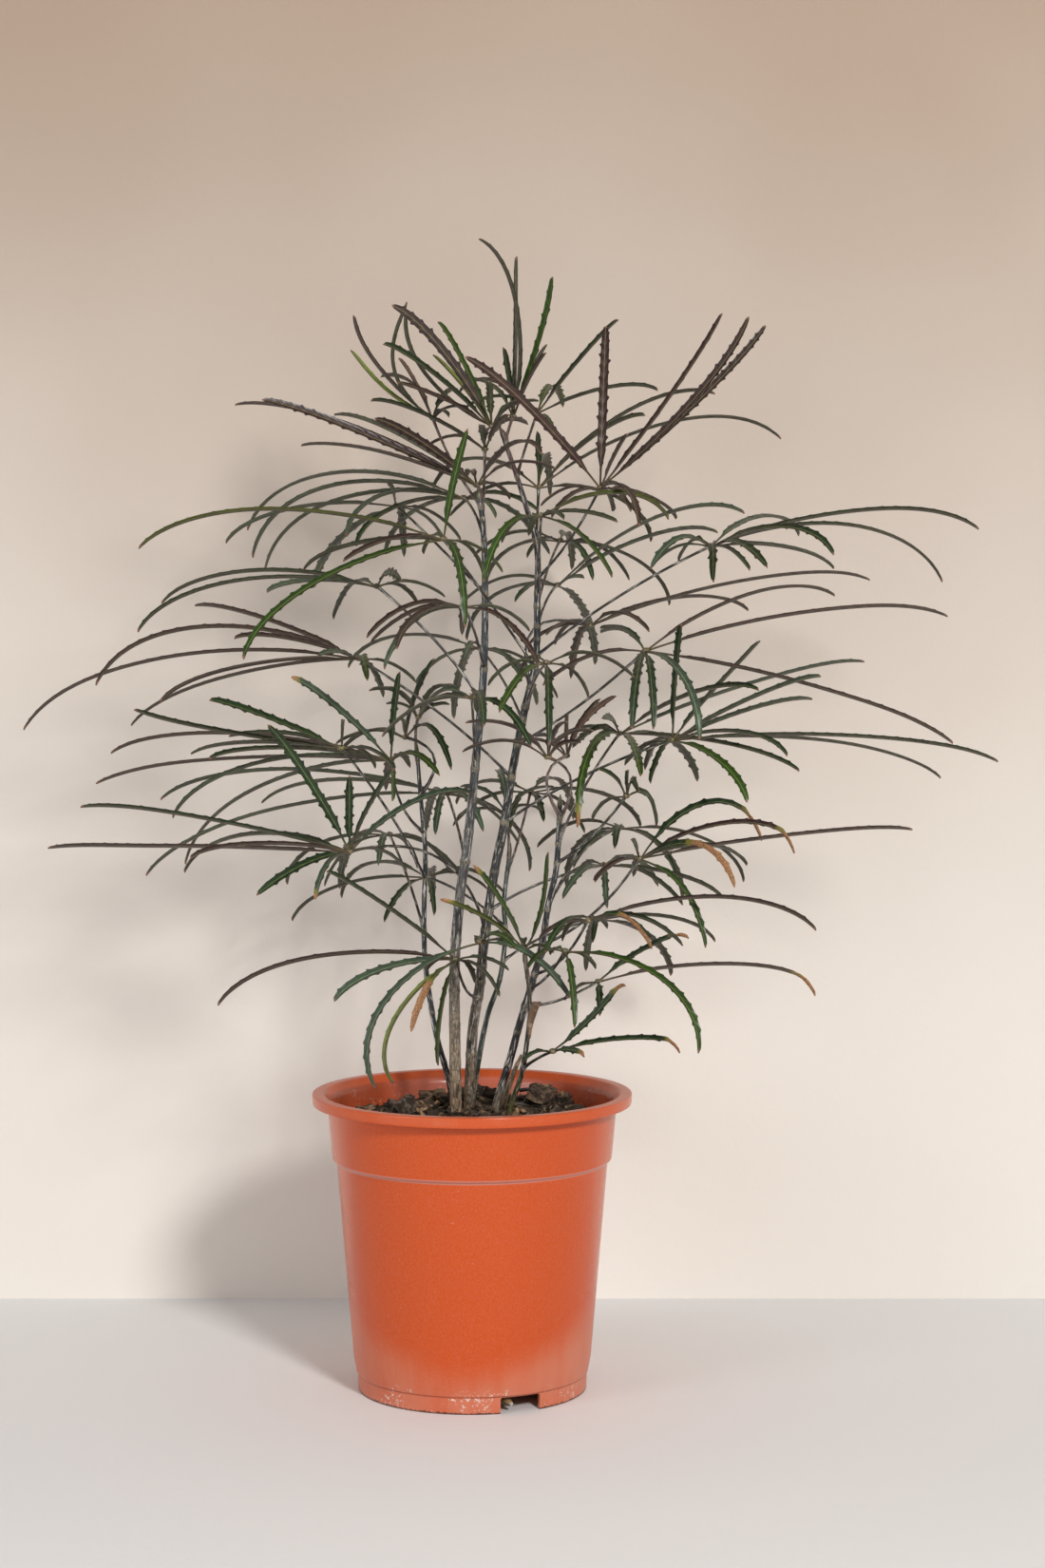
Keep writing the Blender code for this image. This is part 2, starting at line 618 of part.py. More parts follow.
def inner_wall(height):
    """The radius of the pot's inner wall at a height."""
    heights = (FLOOR_TOP, BODY_TOP_HEIGHT, RIM_HEIGHT - LIP_DEPTH)
    radii = (BODY_FOOT_RADIUS - 1.9 * MM, BODY_TOP_RADIUS, BAND_TOP_RADIUS)
    return float(np.interp(height, heights, radii)) - WALL


def pot_profile():
    """The pot's outline: up its inside from the floor, over the lip, and down its outside to the foot."""
    lip_foot = RIM_HEIGHT - LIP_DEPTH
    return [
        (0.0, FLOOR_TOP),
        (inner_wall(FLOOR_TOP), FLOOR_TOP),
        (inner_wall(BODY_TOP_HEIGHT), BODY_TOP_HEIGHT),
        (inner_wall(lip_foot), lip_foot),
        (MOUTH_RADIUS - 0.6 * MM, RIM_HEIGHT - 1.6 * MM),
        (MOUTH_RADIUS + 0.8 * MM, RIM_HEIGHT),
        (RIM_RADIUS - 1.4 * MM, RIM_HEIGHT - 0.2 * MM),
        (RIM_RADIUS, RIM_HEIGHT - 1.8 * MM),
        (RIM_RADIUS - 0.5 * MM, lip_foot),
        (BAND_TOP_RADIUS, lip_foot),
        (BAND_FOOT_RADIUS, BAND_FOOT_HEIGHT),
        (BODY_TOP_RADIUS, BODY_TOP_HEIGHT),
        (BODY_FOOT_RADIUS, BODY_FOOT_HEIGHT),
        (BODY_FOOT_RADIUS - 1.3 * MM, FOOT_HEIGHT + 3.4 * MM),
        (FOOT_RADIUS + 0.9 * MM, FOOT_HEIGHT + 0.8 * MM),
        (FOOT_RADIUS, FOOT_HEIGHT),
        (FOOT_RADIUS - 0.3 * MM, 0.0),
        (FOOT_RADIUS - FOOT_WALL, 0.0),
        (FOOT_RADIUS - FOOT_WALL - 0.6 * MM, FLOOR_UNDERSIDE),
        (0.0, FLOOR_UNDERSIDE),
    ]


def drain_places():
    """(x, y) of each drain hole. One stands over the front notch."""
    for hole in range(DRAINS):
        angle = NOTCH_ANGLE + 2 * math.pi * hole / DRAINS
        yield DRAIN_RING * math.cos(angle), DRAIN_RING * math.sin(angle)


def pot_cutters(cutters):
    """Cuts for the drain holes and for the notches in the foot ring."""
    for x, y in drain_places():
        bm = bmesh.new()
        size = {"radius1": DRAIN_RADIUS, "radius2": DRAIN_RADIUS, "depth": 12 * MM}
        bmesh.ops.create_cone(bm, cap_ends=True, segments=8, **size)
        hole = add_object("drain_cut", mesh_of("drain_cut", bm), cutters)
        hole.location = (x, y, FLOOR_TOP)
    for notch in range(NOTCHES):
        angle = NOTCH_ANGLE + 2 * math.pi * notch / NOTCHES
        bm = bmesh.new()
        bmesh.ops.create_cube(bm, size=1.0)
        bmesh.ops.scale(bm, vec=(26 * MM, NOTCH_WIDTH, 2 * NOTCH_HEIGHT), verts=bm.verts)
        gap = add_object("notch_cut", mesh_of("notch_cut", bm), cutters)
        gap.location = (FOOT_RADIUS * math.cos(angle), FOOT_RADIUS * math.sin(angle), 0.0)
        gap.rotation_euler = (0.0, 0.0, angle)


def hide_cutters(cutters):
    """Cutters show as wires and don't render."""
    for cutter in cutters.objects:
        cutter.hide_render = True
        cutter.display_type = "WIRE"


def make_pot(parts):
    """The plastic pot."""
    pot = profile("pot", pot_profile(), parts)
    screw(pot)
    pot = as_mesh(pot)
    shade_round(pot.data, 25)
    pot.data.materials.append(material("pot_plastic", (0.60, 0.10, 0.035), 0.42))
    cutters = new_collection("pot_cutters")
    pot_cutters(cutters)
    hide_cutters(cutters)
    boolean(pot, "DIFFERENCE", cutters)
    return pot


def soil_height(x, y):
    """The soil's surface: a low mound with lumps."""
    share = 1.0 - min(1.0, math.hypot(x, y) / inner_wall(SOIL_EDGE_HEIGHT)) ** 2
    lumps = math.sin(x * 190 + 1.3) * math.cos(y * 170 - 0.4) + 0.6 * math.sin(x * 410 - y * 330)
    heaps = sum(h * math.exp(-(((x / MM - a) / s) ** 2) - ((y / MM - b) / s) ** 2) for a, b, s, h in HEAPS)
    return SOIL_EDGE_HEIGHT + SOIL_MOUND * share + (SOIL_RELIEF * lumps + heaps * MM) * min(1.0, 4 * share)


def make_soil_body(parts):
    """The turned fill, its rings raised by the soil's height."""
    floor, edge = FLOOR_TOP + GAP, SOIL_EDGE_HEIGHT
    rings = [edge_share * (inner_wall(edge) - GAP) for edge_share in (0.0, 0.22, 0.42, 0.6, 0.76, 0.9)]
    points = [(radius, edge + 1.0 * MM) for radius in rings]
    points += [(inner_wall(height) - GAP, height) for height in (edge, BODY_TOP_HEIGHT, floor)]
    points.append((0.0, floor))
    body = profile("soil", points, parts)
    screw(body)
    body = as_mesh(body)
    for vert in body.data.vertices:
        if vert.co.z > edge + 0.5 * MM:
            vert.co.z = soil_height(vert.co.x, vert.co.y)
    return body


def bark_chip(draw, length, width, thickness):
    """A rough chip: a block with its corners drawn in by chance."""
    bm = bmesh.new()
    bmesh.ops.create_cube(bm, size=1.0)
    bmesh.ops.scale(bm, vec=(length * MM, width * MM, thickness * MM), verts=bm.verts)
    for vert in bm.verts:
        vert.co.x *= draw.uniform(0.62, 1.0)
        vert.co.y *= draw.uniform(0.55, 1.0)
        vert.co.z *= draw.uniform(0.7, 1.1)
    bmesh.ops.triangulate(bm, faces=bm.faces)
    return mesh_of("bark", bm)


def soil_litter(litter):
    """Bark, dead stalks and the root that has grown out through a drain hole."""
    draw = random.Random(SEED)
    for angle, distance, length, width, thickness, tilt in BARK:
        x, y = distance * MM * math.cos(math.radians(angle)), distance * MM * math.sin(math.radians(angle))
        chip = add_object("bark", bark_chip(draw, length, width, thickness), litter)
        chip.location = (x, y, soil_height(x, y) + 1.5 * MM)
        chip.rotation_euler = Euler((math.radians(tilt), 0.0, draw.uniform(0, math.pi)))
    for start, end, arch in DEAD_STALKS:
        line = arc(at(*start), at(*end), arch * MM, 7)
        tube("dead_stalk", line, np.linspace(1.5, 1.0, 7) * MM, 0, litter)
    root = np.array(ROOT) * MM + (*next(drain_places()), 0.0)
    tube("root", root, np.array((3.0, 3.2, 3.0, 2.8, 2.6, 1.1)) * MM, 1, litter)


def make_soil(parts):
    """The bark soil, with its litter fused on and a plain hole for each stem."""
    body = make_soil_body(parts)
    litter = new_collection("soil_litter")
    soil_litter(litter)
    boolean(body, "UNION", litter)
    body = applied(body, litter)
    keep_one_body(body.data)
    body.data.materials.append(material("bark_soil", (0.075, 0.05, 0.035), 0.95))
    cutters = new_collection("soil_cutters")
    for stem in STEMS.values():
        stem_tube("stem_hole", stem, GAP, cutters, 3)
    stub_tube("stub_hole", GAP, cutters)
    hide_cutters(cutters)
    boolean(body, "DIFFERENCE", cutters)
    return body


def stem_tube(name, stem, extra, collection, points_above=99):
    """The stem's wood as a tube. A hole's cutter is the same tube made wider by extra, and shorter."""
    line = stem_line(stem, 1)[: points_above + 1]
    radii = stem_radius(stem, line[:, 2]) + extra
    line[0, 2] -= extra
    return tube(name, line, radii, 1, collection)


def stub_tube(name, extra, collection):
    """The dead stub, or the cutter for its hole."""
    line = np.array([at(*point) for point in STUB_POINTS])
    line = np.vstack((line[0] + (0, 0, -22 * MM - extra), line))
    return tube(name, line, np.array((STUB_RADII[0], *STUB_RADII)) * MM + extra, 1, collection)


def turned_sides(blade, path):
    """The width and thickness directions at each point of a blade's path."""
    side = blade.width_direction()
    tangents = np.gradient(path, axis=0)
    tangents /= np.linalg.norm(tangents, axis=1)[:, None]
    normals = np.cross(side, tangents)
    turn = math.radians(blade.turn) * np.linspace(0.6, 1.0, len(path))[:, None]
    return side * np.cos(turn) + normals * np.sin(turn), normals * np.cos(turn) - side * np.sin(turn)


def blade_mesh(blade):
    """A keeled blade with a notched edge, lofted along its path to a point."""
    path = blade.path(101)
    sides, normals = turned_sides(blade, path)
    half = blade.half_width()
    bm = bmesh.new()
    rows = []
    for share, left, right in TEETH if blade.length() > SHORT_BLADE else SHORT_TEETH:
        spot = int(round(100 * share))
        lift = 0.32 * BLADE_DEPTH * normals[spot]
        left_edge = path[spot] - sides[spot] * (ROOT_HALF_WIDTH + left * (half - ROOT_HALF_WIDTH)) + lift
        right_edge = path[spot] + sides[spot] * (ROOT_HALF_WIDTH + right * (half - ROOT_HALF_WIDTH)) + lift
        keel = path[spot] - normals[spot] * BLADE_DEPTH * 0.68
        rows.append([bm.verts.new(point) for point in (left_edge, right_edge, keel)])
    for row, following in zip(rows, rows[1:]):
        for one, other in ((0, 1), (1, 2), (2, 0)):
            bm.faces.new((row[one], row[other], following[other], following[one]))
    tip = bm.verts.new(path[-1])
    for one, other in ((0, 1), (1, 2), (2, 0)):
        bm.faces.new((rows[-1][one], rows[-1][other], tip))
    bm.faces.new(rows[0])
    return mesh_of("blade", bm)


def hub_mesh():
    """The knot that a leaf's blades spread from."""
    bm = bmesh.new()
    size = {"radius1": 0.9 * HUB_RADIUS, "radius2": HUB_RADIUS, "depth": 1.7 * HUB_RADIUS}
    bmesh.ops.create_cone(bm, cap_ends=True, segments=6, **size)
    return mesh_of("hub", bm)


def make_leafy_stem(name, stem, leaves, parts):
    """One stem with its stalks, hubs and blades fused to it."""
    wood = stem_tube(name, stem, 0.0, parts)
    foliage = new_collection(name + "_foliage")
    for stalk, hub, blades in leaves:
        tube("stalk", stalk, np.linspace(1.15, 0.9, len(stalk)) * STALK_RADIUS, 0, foliage)
        knot = add_object("hub", hub_mesh(), foliage)
        knot.location = hub
        knot.rotation_euler.z = math.atan2(*(hub - stalk[0])[1::-1]) + HUB_TURN
        for blade in blades:
            if blade is not None and not (blade.added and blade.length() < SHORTEST_ADDED):
                add_object("blade", blade_mesh(blade), foliage)
    boolean(wood, "UNION", foliage, "MANIFOLD")
    wood = applied(wood, foliage)
    keep_one_body(wood.data)
    shade_round(wood.data, 65)
    wood.data.materials.append(material(name + "_growth", stem.colour, 0.55))
    return wood


def make_stub(parts):
    """The dead stub."""
    stub = stub_tube("dead_stub", 0.0, parts)
    shade_round(stub.data, 65)
    stub.data.materials.append(material("dry_wood", (0.42, 0.27, 0.15), 0.8))
    return stub


def centre(objects):
    """Moves everything so that the origin lies under the middle of the whole outline."""
    bpy.context.view_layer.update()
    corners = np.array([made.matrix_world @ Vector(corner) for made in objects for corner in made.bound_box])
    middle = (corners.min(axis=0) + corners.max(axis=0)) / 2
    anchor = bpy.data.objects.new("outline_centre", None)
    bpy.context.scene.collection.objects.link(anchor)
    anchor.location = (-middle[0], -middle[1], 0.0)
    for made in bpy.data.objects:
        if made is not anchor:
            made.parent = anchor
            made.matrix_parent_inverse = Matrix.Identity(4)


def main():
    """Clears the scene and makes the potted plant."""
    for made in list(bpy.data.objects):
        bpy.data.objects.remove(made)
    parts = new_collection("potted_false_aralia")
    make_pot(parts)
    make_soil(parts)
    make_stub(parts)
    for name, leaves in grow(STEMS).items():
        make_leafy_stem(name, STEMS[name], leaves, parts)
    centre(list(parts.objects))


if __name__ == "__main__":
    main()
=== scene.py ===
"""A potted false aralia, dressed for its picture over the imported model.

Lengths are metres and +Z is up. The plan of the plant is written in millimetres as it is seen from
the front, and every leaflet, stalk and stem is grown from it again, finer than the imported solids.
"""

import json
import logging
import math
import random
import re
from collections.abc import Callable, Iterator, Sequence
from dataclasses import dataclass, field, replace
from enum import Enum
from itertools import chain, count, product

import bmesh
import bpy
import numpy as np
from mathutils import Euler, Matrix, Vector, noise

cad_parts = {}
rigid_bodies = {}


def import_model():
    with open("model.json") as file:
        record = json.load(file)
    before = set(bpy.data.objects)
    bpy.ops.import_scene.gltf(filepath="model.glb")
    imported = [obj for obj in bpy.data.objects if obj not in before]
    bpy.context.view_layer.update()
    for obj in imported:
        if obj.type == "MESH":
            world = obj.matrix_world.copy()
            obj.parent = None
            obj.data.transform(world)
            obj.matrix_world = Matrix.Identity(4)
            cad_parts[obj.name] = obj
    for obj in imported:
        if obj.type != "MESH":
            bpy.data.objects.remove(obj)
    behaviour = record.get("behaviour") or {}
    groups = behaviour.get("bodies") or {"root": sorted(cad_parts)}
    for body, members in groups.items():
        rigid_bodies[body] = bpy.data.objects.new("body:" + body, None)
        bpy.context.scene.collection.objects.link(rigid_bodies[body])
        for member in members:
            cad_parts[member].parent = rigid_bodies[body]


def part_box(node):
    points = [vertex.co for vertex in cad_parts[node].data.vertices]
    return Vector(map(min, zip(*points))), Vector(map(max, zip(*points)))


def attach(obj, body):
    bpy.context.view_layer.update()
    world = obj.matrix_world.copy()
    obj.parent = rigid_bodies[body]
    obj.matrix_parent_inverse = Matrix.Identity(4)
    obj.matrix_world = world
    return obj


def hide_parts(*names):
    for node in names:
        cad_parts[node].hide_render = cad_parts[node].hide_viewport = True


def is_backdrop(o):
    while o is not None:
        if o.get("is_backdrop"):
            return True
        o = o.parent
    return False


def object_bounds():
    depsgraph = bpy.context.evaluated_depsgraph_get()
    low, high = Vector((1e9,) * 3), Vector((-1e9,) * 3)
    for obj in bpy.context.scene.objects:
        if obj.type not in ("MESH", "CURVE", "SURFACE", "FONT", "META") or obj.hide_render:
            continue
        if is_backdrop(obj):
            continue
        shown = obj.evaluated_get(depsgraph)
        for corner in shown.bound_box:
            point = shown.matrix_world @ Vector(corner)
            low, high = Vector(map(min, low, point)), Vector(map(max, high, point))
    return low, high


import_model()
CAD_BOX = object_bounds()

LOG = logging.getLogger("false_aralia")
MM = 0.001
UP = np.array((0.0, 0.0, 1.0))
FULL_TURN = 2 * math.pi
SEED = 7
RGB = tuple[float, float, float]
RGBA = tuple[float, float, float, float]
Point = tuple[float, float, float]
Mesh = bmesh.types.BMesh
Piece = bpy.types.Object

STEM_DEPTH = 36.0 * MM
BLADE_HALF_WIDTH = 4.1 * MM
# A stalk shorter than this doesn't sag
SHORT_STALK = 45.0 * MM
STALK_POINTS = 60

# The plan is written in millimetres as the plant is seen from the front: across from the pot's
# axis, deep behind it, and up from the ground. The eye stands this far off, across and up.
EYE_ACROSS, EYE_BACK, EYE_UP = 38.0, 2420.0, 610.0


class Tone(Enum):
    """The colours that a leaflet's upper face grows in, and a grey-green painted sheen."""

    DARK = (0.008, 0.020, 0.008)
    PURPLE = (0.029, 0.0125, 0.015)
    GREEN = (0.016, 0.039, 0.003)
    # A paler grey-green that stands in for the sheen of glossy blades: painted sheen.
    SHEEN_GREY = (0.036, 0.054, 0.038)
    OLIVE = (0.044, 0.054, 0.010)
    PALE = (0.17, 0.22, 0.040)
    PINK = (0.11, 0.060, 0.052)
    AMBER = (0.48, 0.19, 0.060)


# Each letter of a leaf's colours: the tone, and the share of the length from which it is dry
LETTERS: dict[str, tuple[Tone, float]] = {
    "D": (Tone.DARK, 1.3), "d": (Tone.DARK, 0.86), "h": (Tone.DARK, 0.48),
    "P": (Tone.PURPLE, 1.3), "p": (Tone.PURPLE, 0.88),
    "G": (Tone.GREEN, 1.3), "g": (Tone.GREEN, 0.93),
    # S and s give the grey-green painted sheen.
    "S": (Tone.SHEEN_GREY, 1.3), "s": (Tone.SHEEN_GREY, 0.93),
    "O": (Tone.OLIVE, 1.3), "o": (Tone.OLIVE, 0.90),
    "Y": (Tone.PALE, 1.3), "y": (Tone.PALE, 0.75),
    "K": (Tone.PINK, 1.3), "A": (Tone.AMBER, 0.10), "a": (Tone.OLIVE, 0.45),
}


def at(across: float, deep: float, up: float) -> np.ndarray:
    """The true place of a point that is seen from the front, deep behind the pot's axis."""
    eye, seen = np.array((EYE_ACROSS, 0.0, EYE_UP)), np.array((across, 0.0, up))
    return MM * (eye + (seen - eye) * (1.0 + deep / EYE_BACK) + (0.0, deep, 0.0))


def unit(vector: np.ndarray) -> np.ndarray:
    """The vector at length one."""
    return vector / np.linalg.norm(vector)


def arc(start: np.ndarray, end: np.ndarray, arch: float, steps: int) -> np.ndarray:
    """Points along one even bend.

    Args:
        start: first point.
        end: last point.
        arch: height of the bend over the straight line, on its upper side.
        steps: number of points.

    Returns:
        The points, one row each.
    """
    chord = end - start
    along = unit(chord)
    bend = start + 0.44 * chord + 2.0 * arch * unit(UP - along * along[2])
    t = np.linspace(0.0, 1.0, steps)[:, None]
    return (1 - t) ** 2 * start + 2 * t * (1 - t) * bend + t**2 * end


def smooth_line(points: np.ndarray, steps: int) -> np.ndarray:
    """A smooth curve through points.

    Args:
        points: the points that it passes through.
        steps: number of steps in each span.

    Returns:
        The points of the curve, one row each.
    """
    p = np.vstack((2 * points[0] - points[1], points, 2 * points[-1] - points[-2]))
    t = np.linspace(0.0, 1.0, steps, endpoint=False)[:, None]
    spans = []
    for a, b, c, d in zip(p[:-3], p[1:-2], p[2:-1], p[3:]):
        curved = (2 * a - 5 * b + 4 * c - d) * t**2 + (3 * b - a - 3 * c + d) * t**3
        spans.append(0.5 * (2 * b + (c - a) * t + curved))
    return np.vstack((*spans, points[-1:]))


def between(spots: np.ndarray | float, places: Sequence[float], rows: np.ndarray) -> np.ndarray:
    """Rows of numbers at spots between the places where they are known."""
    return np.array([np.interp(spots, places, column) for column in rows.T]).T


@dataclass
class Leaf:
    """One hand-shaped leaf.

    height: where its stalk leaves the stem, above the ground. hub: (across, deep, up) of the point
    that its blades spread from. reach: length of the longest blade that the whorl adds. tones: a
    letter for each chosen blade and, where it turns its upper face to the front, a digit from 1 to
    9 for how much of it shows. blades: the chosen ones, each (across, deep, up, arch, turn) with
    its tip's place, the arch's height over the straight line and its turn about its own length in
    degrees. rise: how much the whorl lifts, in degrees. whorl: places for blades round the hub.
    """

    height: float
    hub: Point
    reach: float
    tones: str = "D"
    blades: tuple[tuple[float, ...], ...] = ()
    rise: float = 0.0
    whorl: int = 6


@dataclass
class Stem:
    """One leafy stem: radii, (across, deep, up) points from the soil to its tip, and its leaves.

    bark: (height, colour, share of pale streaks) from the soil up.
    """

    name: str
    foot_radius: float
    tip_radius: float
    points: tuple[Point, ...]
    bark: tuple[tuple[float, RGB, float], ...]
    leaves: tuple[Leaf, ...]

    def line(self, steps: int) -> np.ndarray:
        """The stem's axis from its foot in the soil to its tip.

        Args:
            steps: points in each span.

        Returns:
            The points, one row each.
        """
        above = np.array([at(*point) for point in self.points])
        foot = above[0] + (above[0] - above[1]) / (above[1][2] - above[0][2]) * STEM_DEPTH
        return smooth_line(np.vstack((foot, above)), steps)

    def point(self, height: float) -> np.ndarray:
        """The point of the stem's axis at a height in millimetres."""
        line = self.line(6)
        return between(height * MM, line[:, 2], line)

    def radius(self, z: np.ndarray) -> np.ndarray:
        """The stem is thickest at the soil and tapers fast there, then slowly to its tip.

        Args:
            z: heights along it.

        Returns:
            Its radius at each height.
        """
        foot, tip = self.points[0][2] * MM, self.points[-1][2] * MM
        share = np.clip((z - foot) / (tip - foot), 0.0, 1.0)
        return MM * (self.tip_radius + (self.foot_radius - self.tip_radius) * (1.0 - share) ** 0.8)

    def bark_at(self, z: float) -> RGBA:
        """The bark's colour and share of pale streaks at a height above the ground."""
        rows = np.array([(*colour, streaks) for _, colour, streaks in self.bark])
        return tuple(map(float, between(z, [stop[0] * MM for stop in self.bark], rows)))


@dataclass
class Blade:
    """One leaflet from its hub to its tip."""

    start: np.ndarray
    end: np.ndarray
    arch: float
    turn: float
    letter: str = "D"
    shown: float = 0.0

    def length(self) -> float:
        """The straight distance from hub to tip."""
        return float(np.linalg.norm(self.end - self.start))

    def half_width(self) -> float:
        """Half the full width, less on a short blade."""
        return BLADE_HALF_WIDTH * min(1.0, 0.62 + self.length() / 0.30)

    def path(self, steps: int) -> np.ndarray:
        """Points along the middle of the blade."""
        return arc(self.start, self.end, self.arch, steps)

    def width_direction(self) -> np.ndarray:
        """The level direction across the blade."""
        return unit(np.cross(self.end - self.start, UP))

    def points(self) -> np.ndarray:
        """Points on the blade, close enough together that nothing slips between them.

        Returns:
            The points, one row each.
        """
        path = self.path(max(8, int(self.length() / (1.8 * MM))))
        side = self.width_direction() * self.half_width()
        return np.vstack([path + side * share for share in (-1.0, -0.5, 0.0, 0.5, 1.0)])

    def turned(self, yaw: float, lift: float) -> "Blade":
        """The blade after a turn and a lift about its hub, in degrees, just clear of the knot.

        Args:
            yaw: turn about the upright.
            lift: rise of the slope.

        Returns:
            The moved blade.
        """
        out = self.end - self.start
        reach, length = math.hypot(out[0], out[1]), np.linalg.norm(out)
        azimuth = math.atan2(out[1], out[0]) + math.radians(yaw)
        slope = math.atan2(out[2], reach) + math.radians(lift)
        flat = length * math.cos(slope)
        out = (flat * math.cos(azimuth), flat * math.sin(azimuth), length * math.sin(slope))
        end = self.start + np.array(out)
        return replace(self, start=self.start + unit(end - self.start) * 1.4 * MM, end=end)


MAIN_STEM = Stem(
    name="main_stem", foot_radius=4.4, tip_radius=1.6,
    points=((-3, 4, 200), (-1, 4, 245), (1, 5, 276), (6, 6, 307), (9, 7, 338), (17, 8, 392),
        (24, 9, 426), (31, 10, 471), (40, 12, 515), (48, 13, 551), (49, 14, 596), (49, 14, 632),
        (42, 12, 661), (34, 10, 687), (24, 8, 716)),
    bark=((200, (0.31, 0.21, 0.13), 0.25), (255, (0.22, 0.165, 0.115), 0.45),
        (320, (0.052, 0.048, 0.043), 0.62), (600, (0.020, 0.026, 0.032), 0.55),
        (665, (0.045, 0.030, 0.032), 0.6), (716, (0.19, 0.10, 0.09), 0.4)),
    leaves=(
        Leaf(710, (15, 2, 725), 95, "P9G6D2K3D5Y4", ((-59, -30, 814, 8, 55), (-33, 10, 804, 3),
            (-48, 34, 812, -18), (-55, 0, 758, 3), (-75, -24, 784, 5, 40),
            (-28, 28, 778, 2)), rise=50),
        Leaf(713, (31, 24, 732), 90, "D2D1G6P5D3D8", ((6, 30, 864, 17), (33, 46, 850, -15, 78),
            (39, 20, 839, -4), (55, -20, 779, 3), (46, 52, 785, 2), (29, -34, 783, 3)), rise=50),
        Leaf(688, (49, 62, 735), 115, "D4D3G6", ((109, 80, 804, 2), (139, 40, 752, 8),
            (61, 14, 721, 3)), rise=22),
        Leaf(640, (50, 48, 680), 150, "D8D2D3D3", ((49, 6, 721, 4), (231, 42, 716, 27),
            (139, 20, 732, 8), (183, -14, 723, 18)), rise=12, whorl=7),
        Leaf(612, (96, -28, 679), 130, "P9P9P8P8P5P4P3P3P4P4", ((100, 26, 799, 3),
            (-4, -96, 776, 6, 50), (206, -44, 806, -9, 30), (238, -22, 804, -5, 30),
            (209, 14, 785, -4), (116, -66, 719, 2), (153, 60, 656, 8), (135, 76, 662, 7),
            (119, -66, 662, 6), (56, -62, 657, 7)), rise=18, whorl=7),
        Leaf(600, (52, -72, 659), 100, "O4D3D3G5G7", ((144, -64, 636, 17), (113, -116, 654, 5),
            (72, -104, 656, 4), (113, -92, 613, 8), (9, -124, 609, 16))),
        Leaf(575, (64, 78, 607), 140, "S3S3S3", ((84, 50, 612, 3), (184, 92, 646, 13),
            (219, 62, 659, 20)), whorl=7),
        Leaf(545, (-21, -62, 641), 120, "O4G7G9G9D4P4", ((-249, -82, 634, 24),
            (-171, -122, 551, 20, 25), (-3, -98, 723, 3), (-5, -122, 575, 20),
            (-126, -22, 618, 10), (-96, -104, 625, 8))),
        Leaf(553, (179, -20, 636), 120, "D4D4D5S3S4D8D7S6D3D5", ((379, -30, 649, 18),
            (376, 12, 609, 30), (271, -92, 629, 17), (271, 42, 619, 9), (274, 70, 644, 17),
            (181, -84, 609, 12), (189, -98, 620, 10), (134, -62, 619, 14), (154, 20, 625, 10),
            (208, -78, 618, 6))),
        Leaf(530, (89, 32, 577), 115, "P2P2P2", ((298, 52, 611, 14), (133, -20, 572, 12),
            (214, 104, 588, 14)), whorl=7),
        Leaf(515, (56, -86, 549), 105, "G7D8", ((20, -152, 512, 8), (58, -150, 487, 14))),
        Leaf(487, (130, -32, 558), 115, "P3P2P2S8D8D8D4P3D4", ((361, -62, 489, 10),
            (356, -8, 584, 14), (272, 34, 599, 18), (171, -112, 491, 20), (121, -112, 499, 18),
            (136, -88, 499, 14), (100, 12, 575, 8), (53, -52, 532, 9), (83, 44, 572, 8))),
        Leaf(428, (150, -16, 491), 115, "D3D2S3S3D7D3G7D3", ((395, -42, 475, 11),
            (367, 22, 460, 15), (265, -62, 539, 5), (255, 54, 522, 5), (151, -50, 587, 3),
            (237, -84, 479, 12), (206, -94, 444, 12), (216, 84, 565, 2))),
        Leaf(462, (-85, -16, 552), 125, "P3P3P3P4P2P2S5G8", ((-282, -32, 532, 33),
            (-336, 2, 499, 29), (-207, 42, 592, 6), (-178, -72, 567, 6), (-236, -62, 536, 12),
            (-256, 34, 502, 14), (-134, -54, 554, 4), (-78, -92, 536, 8))),
        Leaf(346, (-92, -62, 407), 105, "D9D9D6D8D3P2D3P2S6s6", ((-153, -112, 502, 4, 35),
            (-110, -102, 464, 3, 30), (-76, -104, 469, 3, 30), (-162, -114, 374, 6, 40),
            (-294, -42, 441, 6), (-319, -22, 410, 2), (-233, 4, 389, 21), (-214, -92, 403, 8),
            (2, -26, 450, 13, 30), (-118, -98, 371, 10))),
        Leaf(361, (99, 28, 397), 100, "D3S7", ((189, 42, 372, 7), (64, -22, 372, 8, 25)), whorl=7),
        Leaf(296, (-12, -34, 326), 80, "P2S6D3a6Y3G4", ((-192, -52, 291, 20),
            (-104, -84, 294, 10, 20), (-109, -72, 392, 3), (-46, -66, 275, 8), (-51, -64, 228, 20),
            (-26, -66, 245, 10))),
        Leaf(308, (6, -44, 339), 80, "S6G6S7", ((-69, -49, 224, 33), (33, -84, 334, 8),
            (74, -84, 296, 12, 30))),
        Leaf(590, (66, 126, 640), 140, whorl=7),
        Leaf(505, (6, 128, 560), 135, "S", whorl=7),
    ),
)
